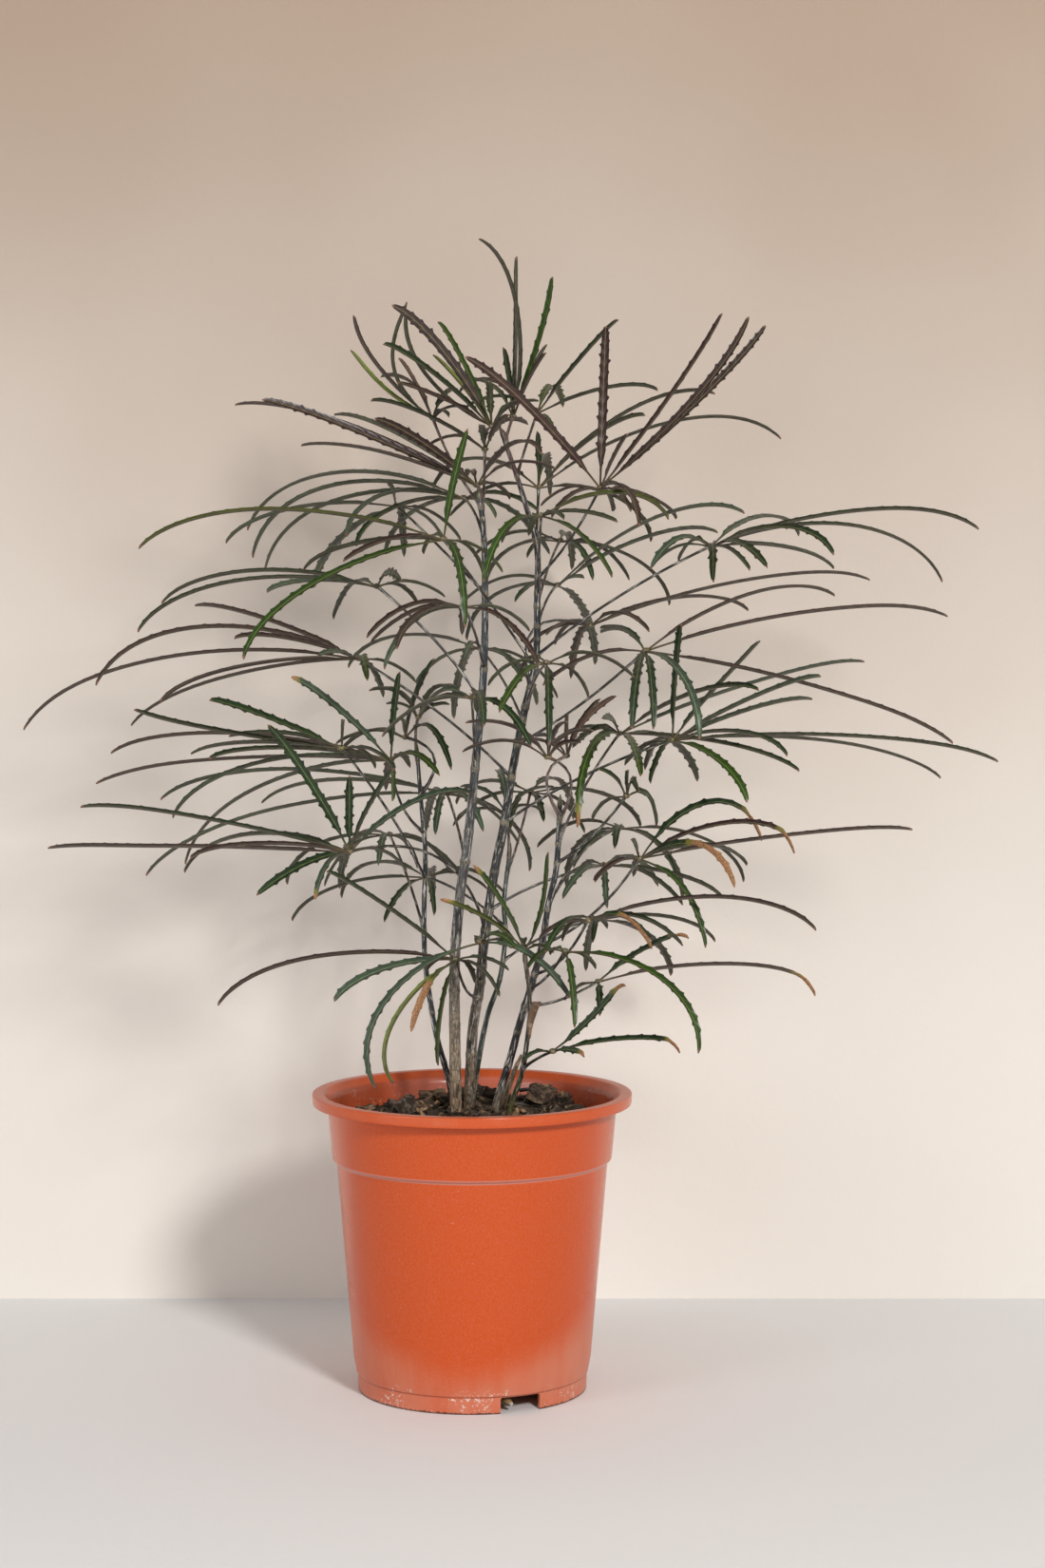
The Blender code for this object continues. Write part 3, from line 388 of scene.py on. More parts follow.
SECOND_STEM = Stem(
    name="second_stem", foot_radius=4.6, tip_radius=1.9,
    points=((-12, -8, 200), (-13, -8, 261), (-13, -9, 323), (-9, -10, 374), (-5, -11, 400),
        (-1, -12, 434), (4, -14, 486), (9, -15, 544), (10, -16, 603), (9, -17, 646),
        (6, -18, 670)),
    bark=((200, (0.46, 0.31, 0.185), 0.12), (262, (0.37, 0.29, 0.20), 0.3),
        (340, (0.13, 0.12, 0.11), 0.55), (500, (0.052, 0.062, 0.068), 0.5),
        (670, (0.036, 0.046, 0.048), 0.45)),
    leaves=(
        Leaf(664, (4, -26, 681), 120, "P8P3P3S5P9", ((-156, -62, 745, 4, 45), (-176, 12, 741, 12),
            (-149, 36, 730, 8), (-124, 58, 719, 8), (-78, -92, 730, 5, 40)), rise=22, whorl=7),
        Leaf(640, (-6, 34, 672), 115, "S3S3S3S3D4", ((-164, 22, 627, 34), (-164, 62, 618, 30),
            (-177, 102, 609, 32), (-94, -22, 643, 20), (-56, -52, 636, 14)), whorl=7),
        Leaf(655, (10, 16, 708), 75, "D4D8P8", ((-75, -4, 744, 6, 30), (6, -54, 726, 3),
            (31, -34, 739, 3)), rise=35),
        Leaf(666, (-29, 22, 731), 80, "D2P2Y4K4", ((-46, 12, 817, -22), (-87, 34, 807, -9),
            (-85, -4, 783, -6, 30), (-49, -11, 772, 2)), rise=38),
        Leaf(600, (-56, 54, 666), 105, "S4S3", ((-62, 12, 682, 3), (-184, 44, 638, 14)), whorl=7),
        Leaf(520, (-71, -12, 606), 115, "D3D3S4D7", ((-232, 32, 593, 18), (-251, -34, 572, 22),
            (-158, -64, 602, 6), (-53, -74, 610, 8))),
        Leaf(545, (-6, -98, 591), 105, "P4P4S5", ((-79, -114, 568, 12), (-76, -62, 564, 10),
            (-66, -136, 544, 14))),
        Leaf(470, (0, -92, 523), 100, "D8S4", ((45, -138, 486, 10), (-40, -60, 508, 12))),
        Leaf(400, (-19, 74, 451), 140, "S3S3S3", ((-234, 62, 446, 20), (-173, 94, 441, 14),
            (-241, 114, 418, 22)), whorl=7),
    ),
)
LEFT_STEM = Stem(
    name="left_stem", foot_radius=2.4, tip_radius=1.5,
    points=((-14, 11, 200), (-17, 11, 231), (-26, 12, 264), (-31, 13, 291), (-34, 14, 311),
        (-36, 15, 338), (-36, 16, 366), (-35, 17, 404), (-37, 18, 431), (-39, 19, 455),
        (-41, 20, 480)),
    bark=((200, (0.16, 0.13, 0.10), 0.3), (228, (0.022, 0.027, 0.034), 0.7),
        (480, (0.021, 0.027, 0.031), 0.5)),
    leaves=(
        Leaf(420, (-61, -4, 476), 110, "P2D2D3P2S3S3s7D8G7G4", ((-271, -22, 481, 16),
            (-224, 42, 479, 10), (-206, -54, 478, 8), (-276, 22, 461, 10), (-225, -34, 432, 22),
            (-231, 72, 416, 26), (-135, -34, 538, 4), (-54, -44, 542, 3), (-24, -54, 464, 10),
            (-59, -56, 445, 10))),
        Leaf(385, (-98, -52, 485), 95, "D4D3D6D3", ((-96, -84, 506, 2), (-253, -64, 514, -4),
            (-196, -114, 521, 2, 30), (-179, -22, 476, 6))),
        Leaf(448, (-50, 30, 493), 90, "D6S6D6", ((-18, 18, 546, 3, 40), (-23, 26, 541, 2),
            (-15, -40, 477, 20)), rise=15),
        Leaf(474, (-40, 14, 508), 65, rise=45),
        Leaf(345, (-62, 112, 420), 125, "S", whorl=7),
    ),
)
RIGHT_STEM = Stem(
    name="right_stem", foot_radius=3.2, tip_radius=1.9,
    points=((14, 0, 200), (21, -2, 225), (29, -4, 251), (36, -7, 277), (46, -11, 310),
        (53, -15, 338), (57, -18, 364), (63, -21, 392), (65, -24, 416), (66, -26, 440)),
    bark=((200, (0.30, 0.21, 0.14), 0.25), (238, (0.036, 0.036, 0.038), 0.75),
        (440, (0.021, 0.027, 0.034), 0.45)),
    leaves=(
        Leaf(432, (57, -38, 478), 80, "P", rise=40, whorl=7),
        Leaf(436, (71, -14, 479), 75, "K6P5K6", ((108, -34, 524, 6), (96, 4, 522, 4),
            (72, -26, 510, 2)), rise=42),
        Leaf(415, (111, 42, 496), 110, "S3D3D4G7D5D5g9", ((294, 64, 550, 8), (219, -34, 501, 12),
            (225, -64, 482, 8), (146, -64, 464, 10), (98, -14, 507, 5), (88, 26, 496, 5),
            (89, -64, 425, 30))),
        Leaf(400, (116, -54, 449), 80, "D5D5D5D6", ((117, -78, 468, 2), (95, -66, 469, 4),
            (133, -94, 452, 10), (139, -22, 425, 14))),
        Leaf(338, (126, -42, 402), 95, "d6p4P2G7h8D4D5", ((218, -22, 422, 28), (243, -74, 414, 18),
            (331, -32, 424, 5), (176, -74, 334, 14), (207, -94, 388, 18), (207, 32, 397, 12),
            (120, -80, 416, 2))),
        Leaf(316, (87, -66, 355), 85, "h7P2D4", ((136, -100, 338, 12), (261, -92, 349, 20),
            (159, -50, 336, 12))),
        Leaf(305, (70, -62, 332), 65, "G6G8", ((171, -122, 254, 27),
            (77, -108, 274, 12)), whorl=4),
        Leaf(291, (95, -12, 309), 65, "p2d5", ((259, -22, 306, 14), (163, 34, 348, 4)), whorl=4),
        Leaf(365, (112, 94, 425), 125, whorl=7),
    ),
)
SIDE_STEM = Stem(
    name="side_stem", foot_radius=2.2, tip_radius=1.5,
    points=((26, -12, 200), (31, -16, 220), (36, -20, 234), (40, -24, 253), (43, -29, 279),
        (43, -34, 302), (40, -40, 323)),
    bark=((200, (0.17, 0.17, 0.03), 0.2), (222, (0.10, 0.10, 0.03), 0.4),
        (250, (0.035, 0.035, 0.033), 0.6), (323, (0.12, 0.10, 0.06), 0.4)),
    leaves=(
        Leaf(316, (40, -46, 333), 65, "g6G6o5", ((1, -84, 396, 4, 30), (57, -66, 406, -8, 30),
            (-22, -64, 369, 5)), rise=25, whorl=5),
        Leaf(246, (61, -52, 256), 60, "d7d5d8", ((116, -74, 312, -3, 40), (157, -64, 261, 6, 20),
            (85, -80, 254, 2, 40)), whorl=3),
    ),
)
BACK_STEM = Stem(
    name="back_stem", foot_radius=2.3, tip_radius=1.6,
    points=((-1, 22, 200), (2, 23, 230), (6, 25, 256), (12, 28, 284), (20, 33, 307), (24, 38, 330),
        (25, 44, 351), (24, 50, 369), (28, 60, 404)),
    bark=((200, (0.02, 0.035, 0.022), 0.3), (404, (0.025, 0.05, 0.035), 0.3)),
    leaves=(
        Leaf(398, (26, 78, 436), 75, "S", rise=35),
        Leaf(385, (44, 148, 452), 130, whorl=7),
        Leaf(345, (-34, 126, 388), 130, whorl=7),
        Leaf(320, (96, 128, 356), 120, whorl=7),
    ),
)
STEMS = (MAIN_STEM, SECOND_STEM, LEFT_STEM, RIGHT_STEM, SIDE_STEM, BACK_STEM)

STUB_POINTS = ((21, 10, 200), (26, 10, 224), (37, 10, 254))
STUB_RADII = (2.6, 2.3, 1.5)
# Dead stalks on the soil: (across, deep, up) of both ends and the arch's height
DEAD_STALKS = (((36, 52, 226), (72, 30, 211), 6), ((18, 14, 208), (52, 22, 208), 8))
# The root that hangs from the front drain hole: (x, y) from the hole's middle, height and radius
ROOT = ((0, 0, 40), (0, 0, 18), (0, -1, 11.5), (-1, -5, 9.4), (-1.5, -15, 8.2), (3.5, -22.0, 5.6))
ROOT_RADII = (3.0, 3.2, 3.4, 4.2, 4.6, 1.5)
# Bark on the soil: place round the pot in degrees, distance from the middle, length, width,
# thickness, tilt
BARK = (
    (197, 52, 24, 15, 6, 70), (150, 40, 22, 13, 6, 20), (28, 60, 30, 16, 9, 12),
    (48, 78, 24, 15, 8, 25), (80, 58, 24, 14, 7, 18), (115, 74, 26, 15, 7, 12),
    (172, 82, 24, 14, 6, 10), (232, 80, 20, 13, 5, 12), (282, 76, 22, 12, 5, 14),
    (332, 78, 24, 14, 6, 10),
)
BARK_TONES: tuple[RGB, ...] = (
    (0.17, 0.125, 0.10), (0.40, 0.24, 0.14), (0.24, 0.155, 0.10), (0.34, 0.22, 0.14),
    (0.11, 0.075, 0.055), (0.28, 0.175, 0.10), (0.44, 0.27, 0.16), (0.19, 0.13, 0.09),
    (0.32, 0.20, 0.12), (0.14, 0.10, 0.08),
)
CRUMB_TONES: tuple[RGB, ...] = (
    (0.060, 0.038, 0.025), (0.11, 0.068, 0.042), (0.24, 0.15, 0.085), (0.42, 0.265, 0.145),
    (0.15, 0.105, 0.075),
)
FIBRE_TONES: tuple[RGBA, ...] = (
    (0.10, 0.07, 0.045, 0.3), (0.22, 0.16, 0.10, 0.3), (0.05, 0.038, 0.03, 0.2),
)


@dataclass
class GrownLeaf:
    """A leaf in its place.

    start, hub: both ends of its stalk. own, stem: the leaf's and its stem's numbers in the room.
    """

    plan: Leaf
    start: np.ndarray
    hub: np.ndarray
    own: int
    stem: int
    stalk: np.ndarray = field(default_factory=lambda: np.zeros((0, 3)))
    blades: list[Blade] = field(default_factory=list)

    def chosen(self) -> Iterator[Blade]:
        """The blades that the plan gives, each with its letter.

        Yields:
            One blade for each that the plan gives.
        """
        letters = re.findall(r"(\D)(\d?)", self.plan.tones)
        for (across, deep, up, arch, *turn), (letter, shown) in zip(self.plan.blades, letters):
            share = (int(shown or 0) / 9) ** 1.2
            tip = at(across, deep, up)
            yield Blade(self.hub, tip, arch * MM, turn[0] if turn else 0.0, letter, share)

    def whorl(self, draw: random.Random, dye: random.Random) -> Iterator[Blade]:
        """Blades for the places that no chosen blade fills, longest on the outer side.

        Args:
            draw: source of chance for their shapes.
            dye: source of chance for their colours.

        Yields:
            One blade for each free place.
        """
        places, rise = self.plan.whorl, self.plan.rise
        letters = [one if one in "DPGSO" else "D" for one in re.findall(r"\D", self.plan.tones)]
        outward = math.atan2(*(self.hub - self.start)[1::-1])
        taken = [math.atan2(*(at(*blade[:3]) - self.hub)[1::-1]) for blade in self.plan.blades]
        closest = math.cos(0.62 * FULL_TURN / places)
        for place in range(places):
            angle = outward + FULL_TURN * (place + draw.uniform(-0.12, 0.12)) / places
            size, slope = draw.uniform(0.85, 1.1), math.radians(draw.uniform(-36, -8) + rise)
            arch, turn = draw.uniform(0.12, 0.19), draw.uniform(-18, 18)
            if any(math.cos(angle - other) > closest for other in taken):
                continue
            length = self.plan.reach * MM * size
            length *= 0.42 + 0.58 * math.cos((angle - outward) / 2) ** 4
            flat = math.cos(slope)
            way = np.array((flat * math.cos(angle), flat * math.sin(angle), math.sin(slope)))
            end = self.hub + length * way
            yield Blade(self.hub, end, arch * length, turn, dye.choice(letters))


class Room:
    """The space round the plant in small cells, each free or held by a numbered stem or leaf."""

    CELL = 2.5 * MM
    LOW = np.array((-0.42, -0.36, 0.14))
    CELLS = (360, 300, 310)
    # Near a leaf's hub its stem's cells don't count, nor its own as far as another blade may cross
    STEM_REACH, OWN_REACH, ANYWHERE = 16 * MM, 30 * MM, 1.0
    SOIL_RADIUS, SOIL_TOP = 104 * MM, 222 * MM
    WALL_INSIDE, WALL_OUTSIDE, WALL_TOP = 92 * MM, 130 * MM, 236 * MM
    # How a blade or a stalk is moved until it fits, in degrees and millimetres
    LIFTS = (0, 6, -6, 12, -12)
    YAWS = (0, 5, -5, 10, -10, 16, -16, 24, -24)
    ARCHES = (5, 9, 1, 13, -4, 18, -8, 24, 30)

    def __init__(self) -> None:
        """Starts with every cell free."""
        self.cells = np.zeros(self.CELLS, np.int16)

    def cells_of(self, points: np.ndarray) -> np.ndarray:
        """The cell of each point."""
        spots = ((points - self.LOW) / self.CELL).astype(int)
        return np.clip(spots, 1, np.array(self.CELLS) - 2)

    def claim(self, points: np.ndarray, number: int) -> None:
        """Holds the cells at the points and those beside them, where they are free.

        Args:
            points: the points, one row each.
            number: the stem or leaf that holds them.
        """
        spots = self.cells_of(points)
        for step in product((-1, 0, 1), repeat=3):
            beside = tuple((spots + step).T)
            held = self.cells[beside]
            self.cells[beside] = np.where(held == 0, number, held)

    def is_clear(self, points: np.ndarray, leaf: GrownLeaf, reach: float) -> bool:
        """Whether points of a leaf are free.

        Args:
            points: the points, one row each.
            leaf: the leaf.
            reach: how far from its hub the leaf's own cells don't count.

        Returns:
            True where no point meets a held cell, the soil or the pot's wall.
        """
        held = self.cells[tuple(self.cells_of(points).T)]
        away = np.linalg.norm(points - leaf.hub, axis=1)
        own = (held == leaf.own) & (away < reach)
        blocked = (held != 0) & ~own & ~((held == leaf.stem) & (away < self.STEM_REACH))
        radius, z = np.hypot(points[:, 0], points[:, 1]), points[:, 2]
        in_soil = (radius < self.SOIL_RADIUS) & (z < self.SOIL_TOP)
        in_wall = (radius > self.WALL_INSIDE) & (radius < self.WALL_OUTSIDE) & (z < self.WALL_TOP)
        return not np.any(blocked | in_soil | in_wall)

    def fit_blade(self, leaf: GrownLeaf, blade: Blade) -> None:
        """Gives the leaf its blade, turned until it crosses nothing, or leaves it out.

        Where its own leaf leaves no room, it may cross another blade of that leaf.

        Args:
            leaf: the leaf.
            blade: the blade as it is planned.
        """
        for reach, lift, yaw in product((self.OWN_REACH, self.ANYWHERE), self.LIFTS, self.YAWS):
            tried = blade.turned(yaw, lift)
            points = tried.points()
            if self.is_clear(points, leaf, reach):
                self.claim(points, leaf.own)
                leaf.blades.append(tried)
                return

    def fit_stalk(self, leaf: GrownLeaf) -> None:
        """Gives the leaf its stalk, arched until it crosses no other stem or stalk.

        Args:
            leaf: the leaf.
        """
        for arch in self.ARCHES:
            path = arc(leaf.start, leaf.hub, arch * MM, STALK_POINTS)
            clear_of_stem = path[np.linalg.norm(path - leaf.start, axis=1) > 9 * MM]
            if self.is_clear(clear_of_stem, leaf, self.ANYWHERE):
                break
        self.claim(path, leaf.own)
        sags = arch < 0 and np.linalg.norm(leaf.hub - leaf.start) < SHORT_STALK
        leaf.stalk = arc(leaf.start, leaf.hub, MM, STALK_POINTS) if sags else path


def grow(stems: Sequence[Stem]) -> list[list[GrownLeaf]]:
    """Places every stalk and blade of the plan.

    Args:
        stems: the plan.

    Returns:
        The grown leaves of each stem.
    """
    room = Room()
    for number, stem in enumerate(stems, 1):
        line = stem.line(24)
        room.claim(line, number)
        for turn in np.linspace(0, FULL_TURN, 6, endpoint=False):
            out = np.array((math.cos(turn), math.sin(turn), 0.0))
            room.claim(line + stem.radius(line[:, 2])[:, None] * out, number)
    room.claim(arc(at(*STUB_POINTS[0]), at(*STUB_POINTS[-1]), 0.0, 40), len(stems) + 1)
    numbers = count(len(stems) + 2)
    grown: list[list[GrownLeaf]] = [[] for _ in stems]
    for number, (stem, leaves) in enumerate(zip(stems, grown), 1):
        for plan in stem.leaves:
            ends = (stem.point(plan.height), at(*plan.hub))
            leaves.append(GrownLeaf(plan, *ends, next(numbers), number))
            room.fit_stalk(leaves[-1])
    for leaf in chain(*grown):
        for blade in leaf.chosen():
            room.fit_blade(leaf, blade)
    draw, dye = random.Random(SEED), random.Random(SEED + 1)
    for leaf in chain(*grown):
        for blade in leaf.whorl(draw, dye):
            room.fit_blade(leaf, blade)
    return grown


# Meshes


def frames_along(line: np.ndarray) -> tuple[np.ndarray, np.ndarray, np.ndarray]:
    """Directions along a line that don't twist about it.

    Args:
        line: the points, one row each.

    Returns:
        At each point: the direction along the line and the two directions across it.
    """
    tangents = rows_of_one(np.gradient(line, axis=0))
    guide = np.array((1.0, 0.0, 0.0)) if abs(tangents[0][0]) < 0.8 else np.array((0.0, 1.0, 0.0))
    sides = []
    for tangent in tangents:
        guide = unit(guide - tangent * float(guide @ tangent))
        sides.append(guide)
    across = np.array(sides)
    return tangents, across, np.cross(tangents, across)


def rows_of_one(rows: np.ndarray) -> np.ndarray:
    """The rows, each at length one."""
    return rows / np.linalg.norm(rows, axis=1)[:, None]


class Making:
    """A mesh in the making, with the colour of its points and its own source of chance."""

    def __init__(self, seed: int | str = SEED) -> None:
        """Starts empty."""
        self.bm, self.draw = bmesh.new(), random.Random(seed)
        self.tone = self.bm.verts.layers.float_color.new("tone")


class Growing(Making):
    """A mesh in the making, with all the values at its points that the materials read."""

    def __init__(self, seed: int | str = SEED) -> None:
        """Starts empty.

        Args:
            seed: where its chance starts.
        """
        super().__init__(seed)
        self.growth = self.bm.verts.layers.float_color.new("growth")
        self.grain = self.bm.verts.layers.float_vector.new("grain")
        self.across = self.bm.loops.layers.uv.new("UVMap")

    def mark(self, vert: bmesh.types.BMVert, tone: RGBA, growth: RGBA, grain: Point) -> None:
        """Notes the values at one point."""
        vert[self.tone], vert[self.growth], vert[self.grain] = tone, growth, grain

    def rod(
        self,
        line: np.ndarray,
        radii: Sequence[float],
        sides: int,
        tones: Sequence[RGBA],
        chance: float = 0.0,
    ) -> None:
        """Draws out a closed round rod along a line.

        Args:
            line: the points of its axis, one row each.
            radii: its radius at each point.
            sides: how many sides it has.
            tones: its colour at each point, with the share of pale streaks as the fourth number.
            chance: a number that tells this rod's grain from the next one's.
        """
        tangents, across, upward = frames_along(line)
        steps = np.linalg.norm(np.diff(line, axis=0), axis=1)
        run = np.concatenate(((0.0,), np.cumsum(steps)))
        ring = bmesh.ops.create_circle(self.bm, cap_ends=True, segments=sides, radius=1.0)["verts"]
        end = next(iter(ring[0].link_faces))
        before = Matrix.Identity(4)
        for step, (spot, radius, tone) in enumerate(zip(line, radii, tones)):
            if step:
                made = bmesh.ops.extrude_face_region(self.bm, geom=[end])["geom"]
                if step > 1:
                    bmesh.ops.delete(self.bm, geom=[end], context="FACES_ONLY")
                end = next(part for part in made if isinstance(part, bmesh.types.BMFace))
            columns = [Vector(way[step] * radius) for way in (across, upward, tangents)]
            place = Matrix(columns).transposed().to_4x4()
            place.translation = Vector(spot)
            bmesh.ops.transform(self.bm, matrix=place @ before.inverted(), verts=list(end.verts))
            before = place
            growth = (run[step] / run[-1], 0.0, chance % 1.0, 1.3)
            for vert in end.verts:
                out = np.array(vert.co) - spot
                grain = (float(out @ across[step]), float(out @ upward[step]), run[step] + chance)
                self.mark(vert, tone, growth, grain)


def turned_shape(line: Sequence[tuple[float, float]], turns: int) -> Mesh:
    """A shape turned about the upright, in the making.

    Args:
        line: (radius, height) of the points of its outline.
        turns: how many steps it is turned in.

    Returns:
        The mesh in the making.
    """
    bm = bmesh.new()
    knots = [bm.verts.new((radius, 0.0, height)) for radius, height in line]
    edges = [bm.edges.new(pair) for pair in zip(knots, knots[1:])]
    turn = {"cent": (0, 0, 0), "axis": (0, 0, 1), "angle": FULL_TURN, "steps": turns}
    bmesh.ops.spin(bm, geom=[*knots, *edges], use_merge=True, **turn)
    bmesh.ops.remove_doubles(bm, verts=bm.verts, dist=0.00001)
    return bm


def new_piece(name: str, bm: Mesh, shelf: bpy.types.Collection | None = None) -> Piece:
    """The mesh in the making as an object.

    Args:
        name: its name.
        bm: the mesh in the making, which is freed.
        shelf: the collection that it goes to, if not the scene's own.

    Returns:
        The object.
    """
    mesh = bpy.data.meshes.new(name)
    bm.to_mesh(mesh)
    bm.free()
    piece = bpy.data.objects.new(name, mesh)
    (shelf or bpy.context.scene.collection).objects.link(piece)
    return piece


# Finishes


def joined(operation: str, swapped: bool = False) -> Callable[["Value", "Feed"], "Value"]:
    """The operator that lays out one sum.

    Args:
        operation: the sum.
        swapped: whether the value stands on the right side.

    Returns:
        The operator.
    """

    def join(one: "Value", other: "Feed") -> "Value":
        """The outcome of the sum."""
        sides = (other, one) if swapped else (one, other)
        return one.board.math(operation, *sides)

    return join


@dataclass(frozen=True)
class Value:
    """One output of a node. A sum with it lays out the node that works it out."""

    board: "Board"
    socket: bpy.types.NodeSocket

    __add__, __radd__ = joined("ADD"), joined("ADD", True)
    __sub__, __rsub__ = joined("SUBTRACT"), joined("SUBTRACT", True)
    __mul__, __rmul__ = joined("MULTIPLY"), joined("MULTIPLY", True)

    def __abs__(self) -> "Value":
        """The value without its sign."""
        return self.board.math("ABSOLUTE", self)

    def mask(self, low: float, high: float) -> "Value":
        """A soft step from 0 at low to 1 at high."""
        inputs = {"Value": self, "From Min": low, "From Max": high}
        return self.board.value("ShaderNodeMapRange", inputs, interpolation_type="SMOOTHSTEP")

    def mixed(self, other: "Feed", share: "Feed", blend: str = "MIX") -> "Value":
        """This colour with a share of another one."""
        return self.board.mix(share, self, other, blend)

    def scaled(self, by: "Feed") -> "Value":
        """This colour made lighter or darker, channel by channel."""
        return self.mixed(by, 1.0, "MULTIPLY")


Feed = Value | float | tuple[float, ...]


class Board:
    """Lays out and joins the nodes of one material or group."""

    def __init__(self, tree: bpy.types.NodeTree) -> None:
        """Starts on a tree that is cleared of its nodes."""
        self.tree = tree
        tree.nodes.clear()

    def node(
        self, kind: str, inputs: dict[str | int, Feed] | None = None, **settings: object
    ) -> bpy.types.Node:
        """Adds a node.

        Args:
            kind: the node's type.
            inputs: what goes into its sockets, by name or number.
            settings: its other settings.

        Returns:
            The node.
        """
        made = self.tree.nodes.new(kind)
        for name, setting in settings.items():
            setattr(made, name, setting)
        for name, value in (inputs or {}).items():
            socket = made.inputs[name]
            if isinstance(value, Value):
                self.tree.links.new(value.socket, socket)
            elif socket.type == "RGBA" and len(value) == 3:
                socket.default_value = (*value, 1.0)
            else:
                socket.default_value = value
        return made

    def values(
        self, kind: str, inputs: dict | None = None, **settings: object
    ) -> dict[str, Value]:
        """The outputs of a new node by name."""
        outputs = self.node(kind, inputs, **settings).outputs
        return {output.name: Value(self, output) for output in outputs}

    def value(
        self, kind: str, inputs: dict[str | int, Feed], output: int = 0, **settings: object
    ) -> Value:
        """One output of a new node."""
        return Value(self, self.node(kind, inputs, **settings).outputs[output])

    def math(self, operation: str, one: Feed, other: Feed = 0.0) -> Value:
        """The outcome of one sum."""
        return self.value("ShaderNodeMath", {0: one, 1: other}, operation=operation)

    def mix(self, share: Feed, one: Feed, other: Feed, blend: str = "MIX") -> Value:
        """A blend of two colours."""
        sides = {0: share, 6: one, 7: other}
        return self.value("ShaderNodeMix", sides, 2, data_type="RGBA", blend_type=blend)

    def stretch(self, vector: Value, scale: Point) -> Value:
        """A place that is scaled by its own amount each way."""
        return self.value("ShaderNodeMapping", {"Vector": vector, "Scale": scale})

    def noise(self, vector: Value, scale: Feed, detail: float = 3.0, rough: float = 0.55) -> Value:
        """A cloudy value about a half."""
        inputs = {"Vector": vector, "Scale": scale, "Detail": detail, "Roughness": rough}
        return self.value("ShaderNodeTexNoise", inputs)

    def attribute(self, name: str) -> dict[str, Value]:
        """The parts of a named value of the piece's points."""
        return self.values("ShaderNodeAttribute", attribute_name=name, attribute_type="GEOMETRY")

    def place(self) -> Value:
        """The place on the piece."""
        return self.values("ShaderNodeTexCoord")["Object"]

    def shader(
        self, colour: Feed, rough: Feed, height: Value, relief: float, **fixed: float
    ) -> Value:
        """The shader of a material.

        Args:
            colour: its colour.
            rough: its roughness.
            height: the height of its fine relief, in reliefs.
            relief: how deep one such height is.
            fixed: settings that are the same all over, with underscores for spaces.

        Returns:
            The shader.
        """
        bump = {"Height": height, "Distance": relief, "Strength": 1.0}
        looks = {"Base Color": colour, "Roughness": rough}
        looks["Normal"] = self.value("ShaderNodeBump", bump)
        looks.update((name.replace("_", " "), share) for name, share in fixed.items())
        return self.value("ShaderNodeBsdfPrincipled", looks)


class Group:
    """An effect as a node group with named inputs that gives a colour, roughness and height."""

    KINDS = {"colours": "Color", "values": "Float", "places": "Vector"}
    OUTCOMES = {"colours": ("Colour",), "values": ("Roughness", "Height")}

    def __init__(self, name: str, **inputs: Sequence[str]) -> None:
        """Makes the group with its inputs.

        Args:
            name: the group's name.
            inputs: the names of its inputs, by kind.
        """
        self.tree = bpy.data.node_groups.new(name, "ShaderNodeTree")
        for direction, kinds in (("OUTPUT", self.OUTCOMES), ("INPUT", inputs)):
            for kind, names in kinds.items():
                look = {"in_out": direction, "socket_type": f"NodeSocket{self.KINDS[kind]}"}
                for name in names:
                    self.tree.interface.new_socket(name, **look)
        self.board = Board(self.tree)
        self.given = self.board.values("NodeGroupInput")

    def ended(self, colour: Value, rough: Value, height: Value) -> "Group":
        """The group with its three outcomes sent out."""
        self.board.node("NodeGroupOutput", {0: colour, 1: rough, 2: height})
        return self

    def placed(self, board: Board, inputs: dict[str, Feed]) -> tuple[Value, Value, Value]:
        """The colour, roughness and height that the group gives on a material's board."""
        out = board.values("ShaderNodeGroup", inputs, node_tree=self.tree)
        return out["Colour"], out["Roughness"], out["Height"]


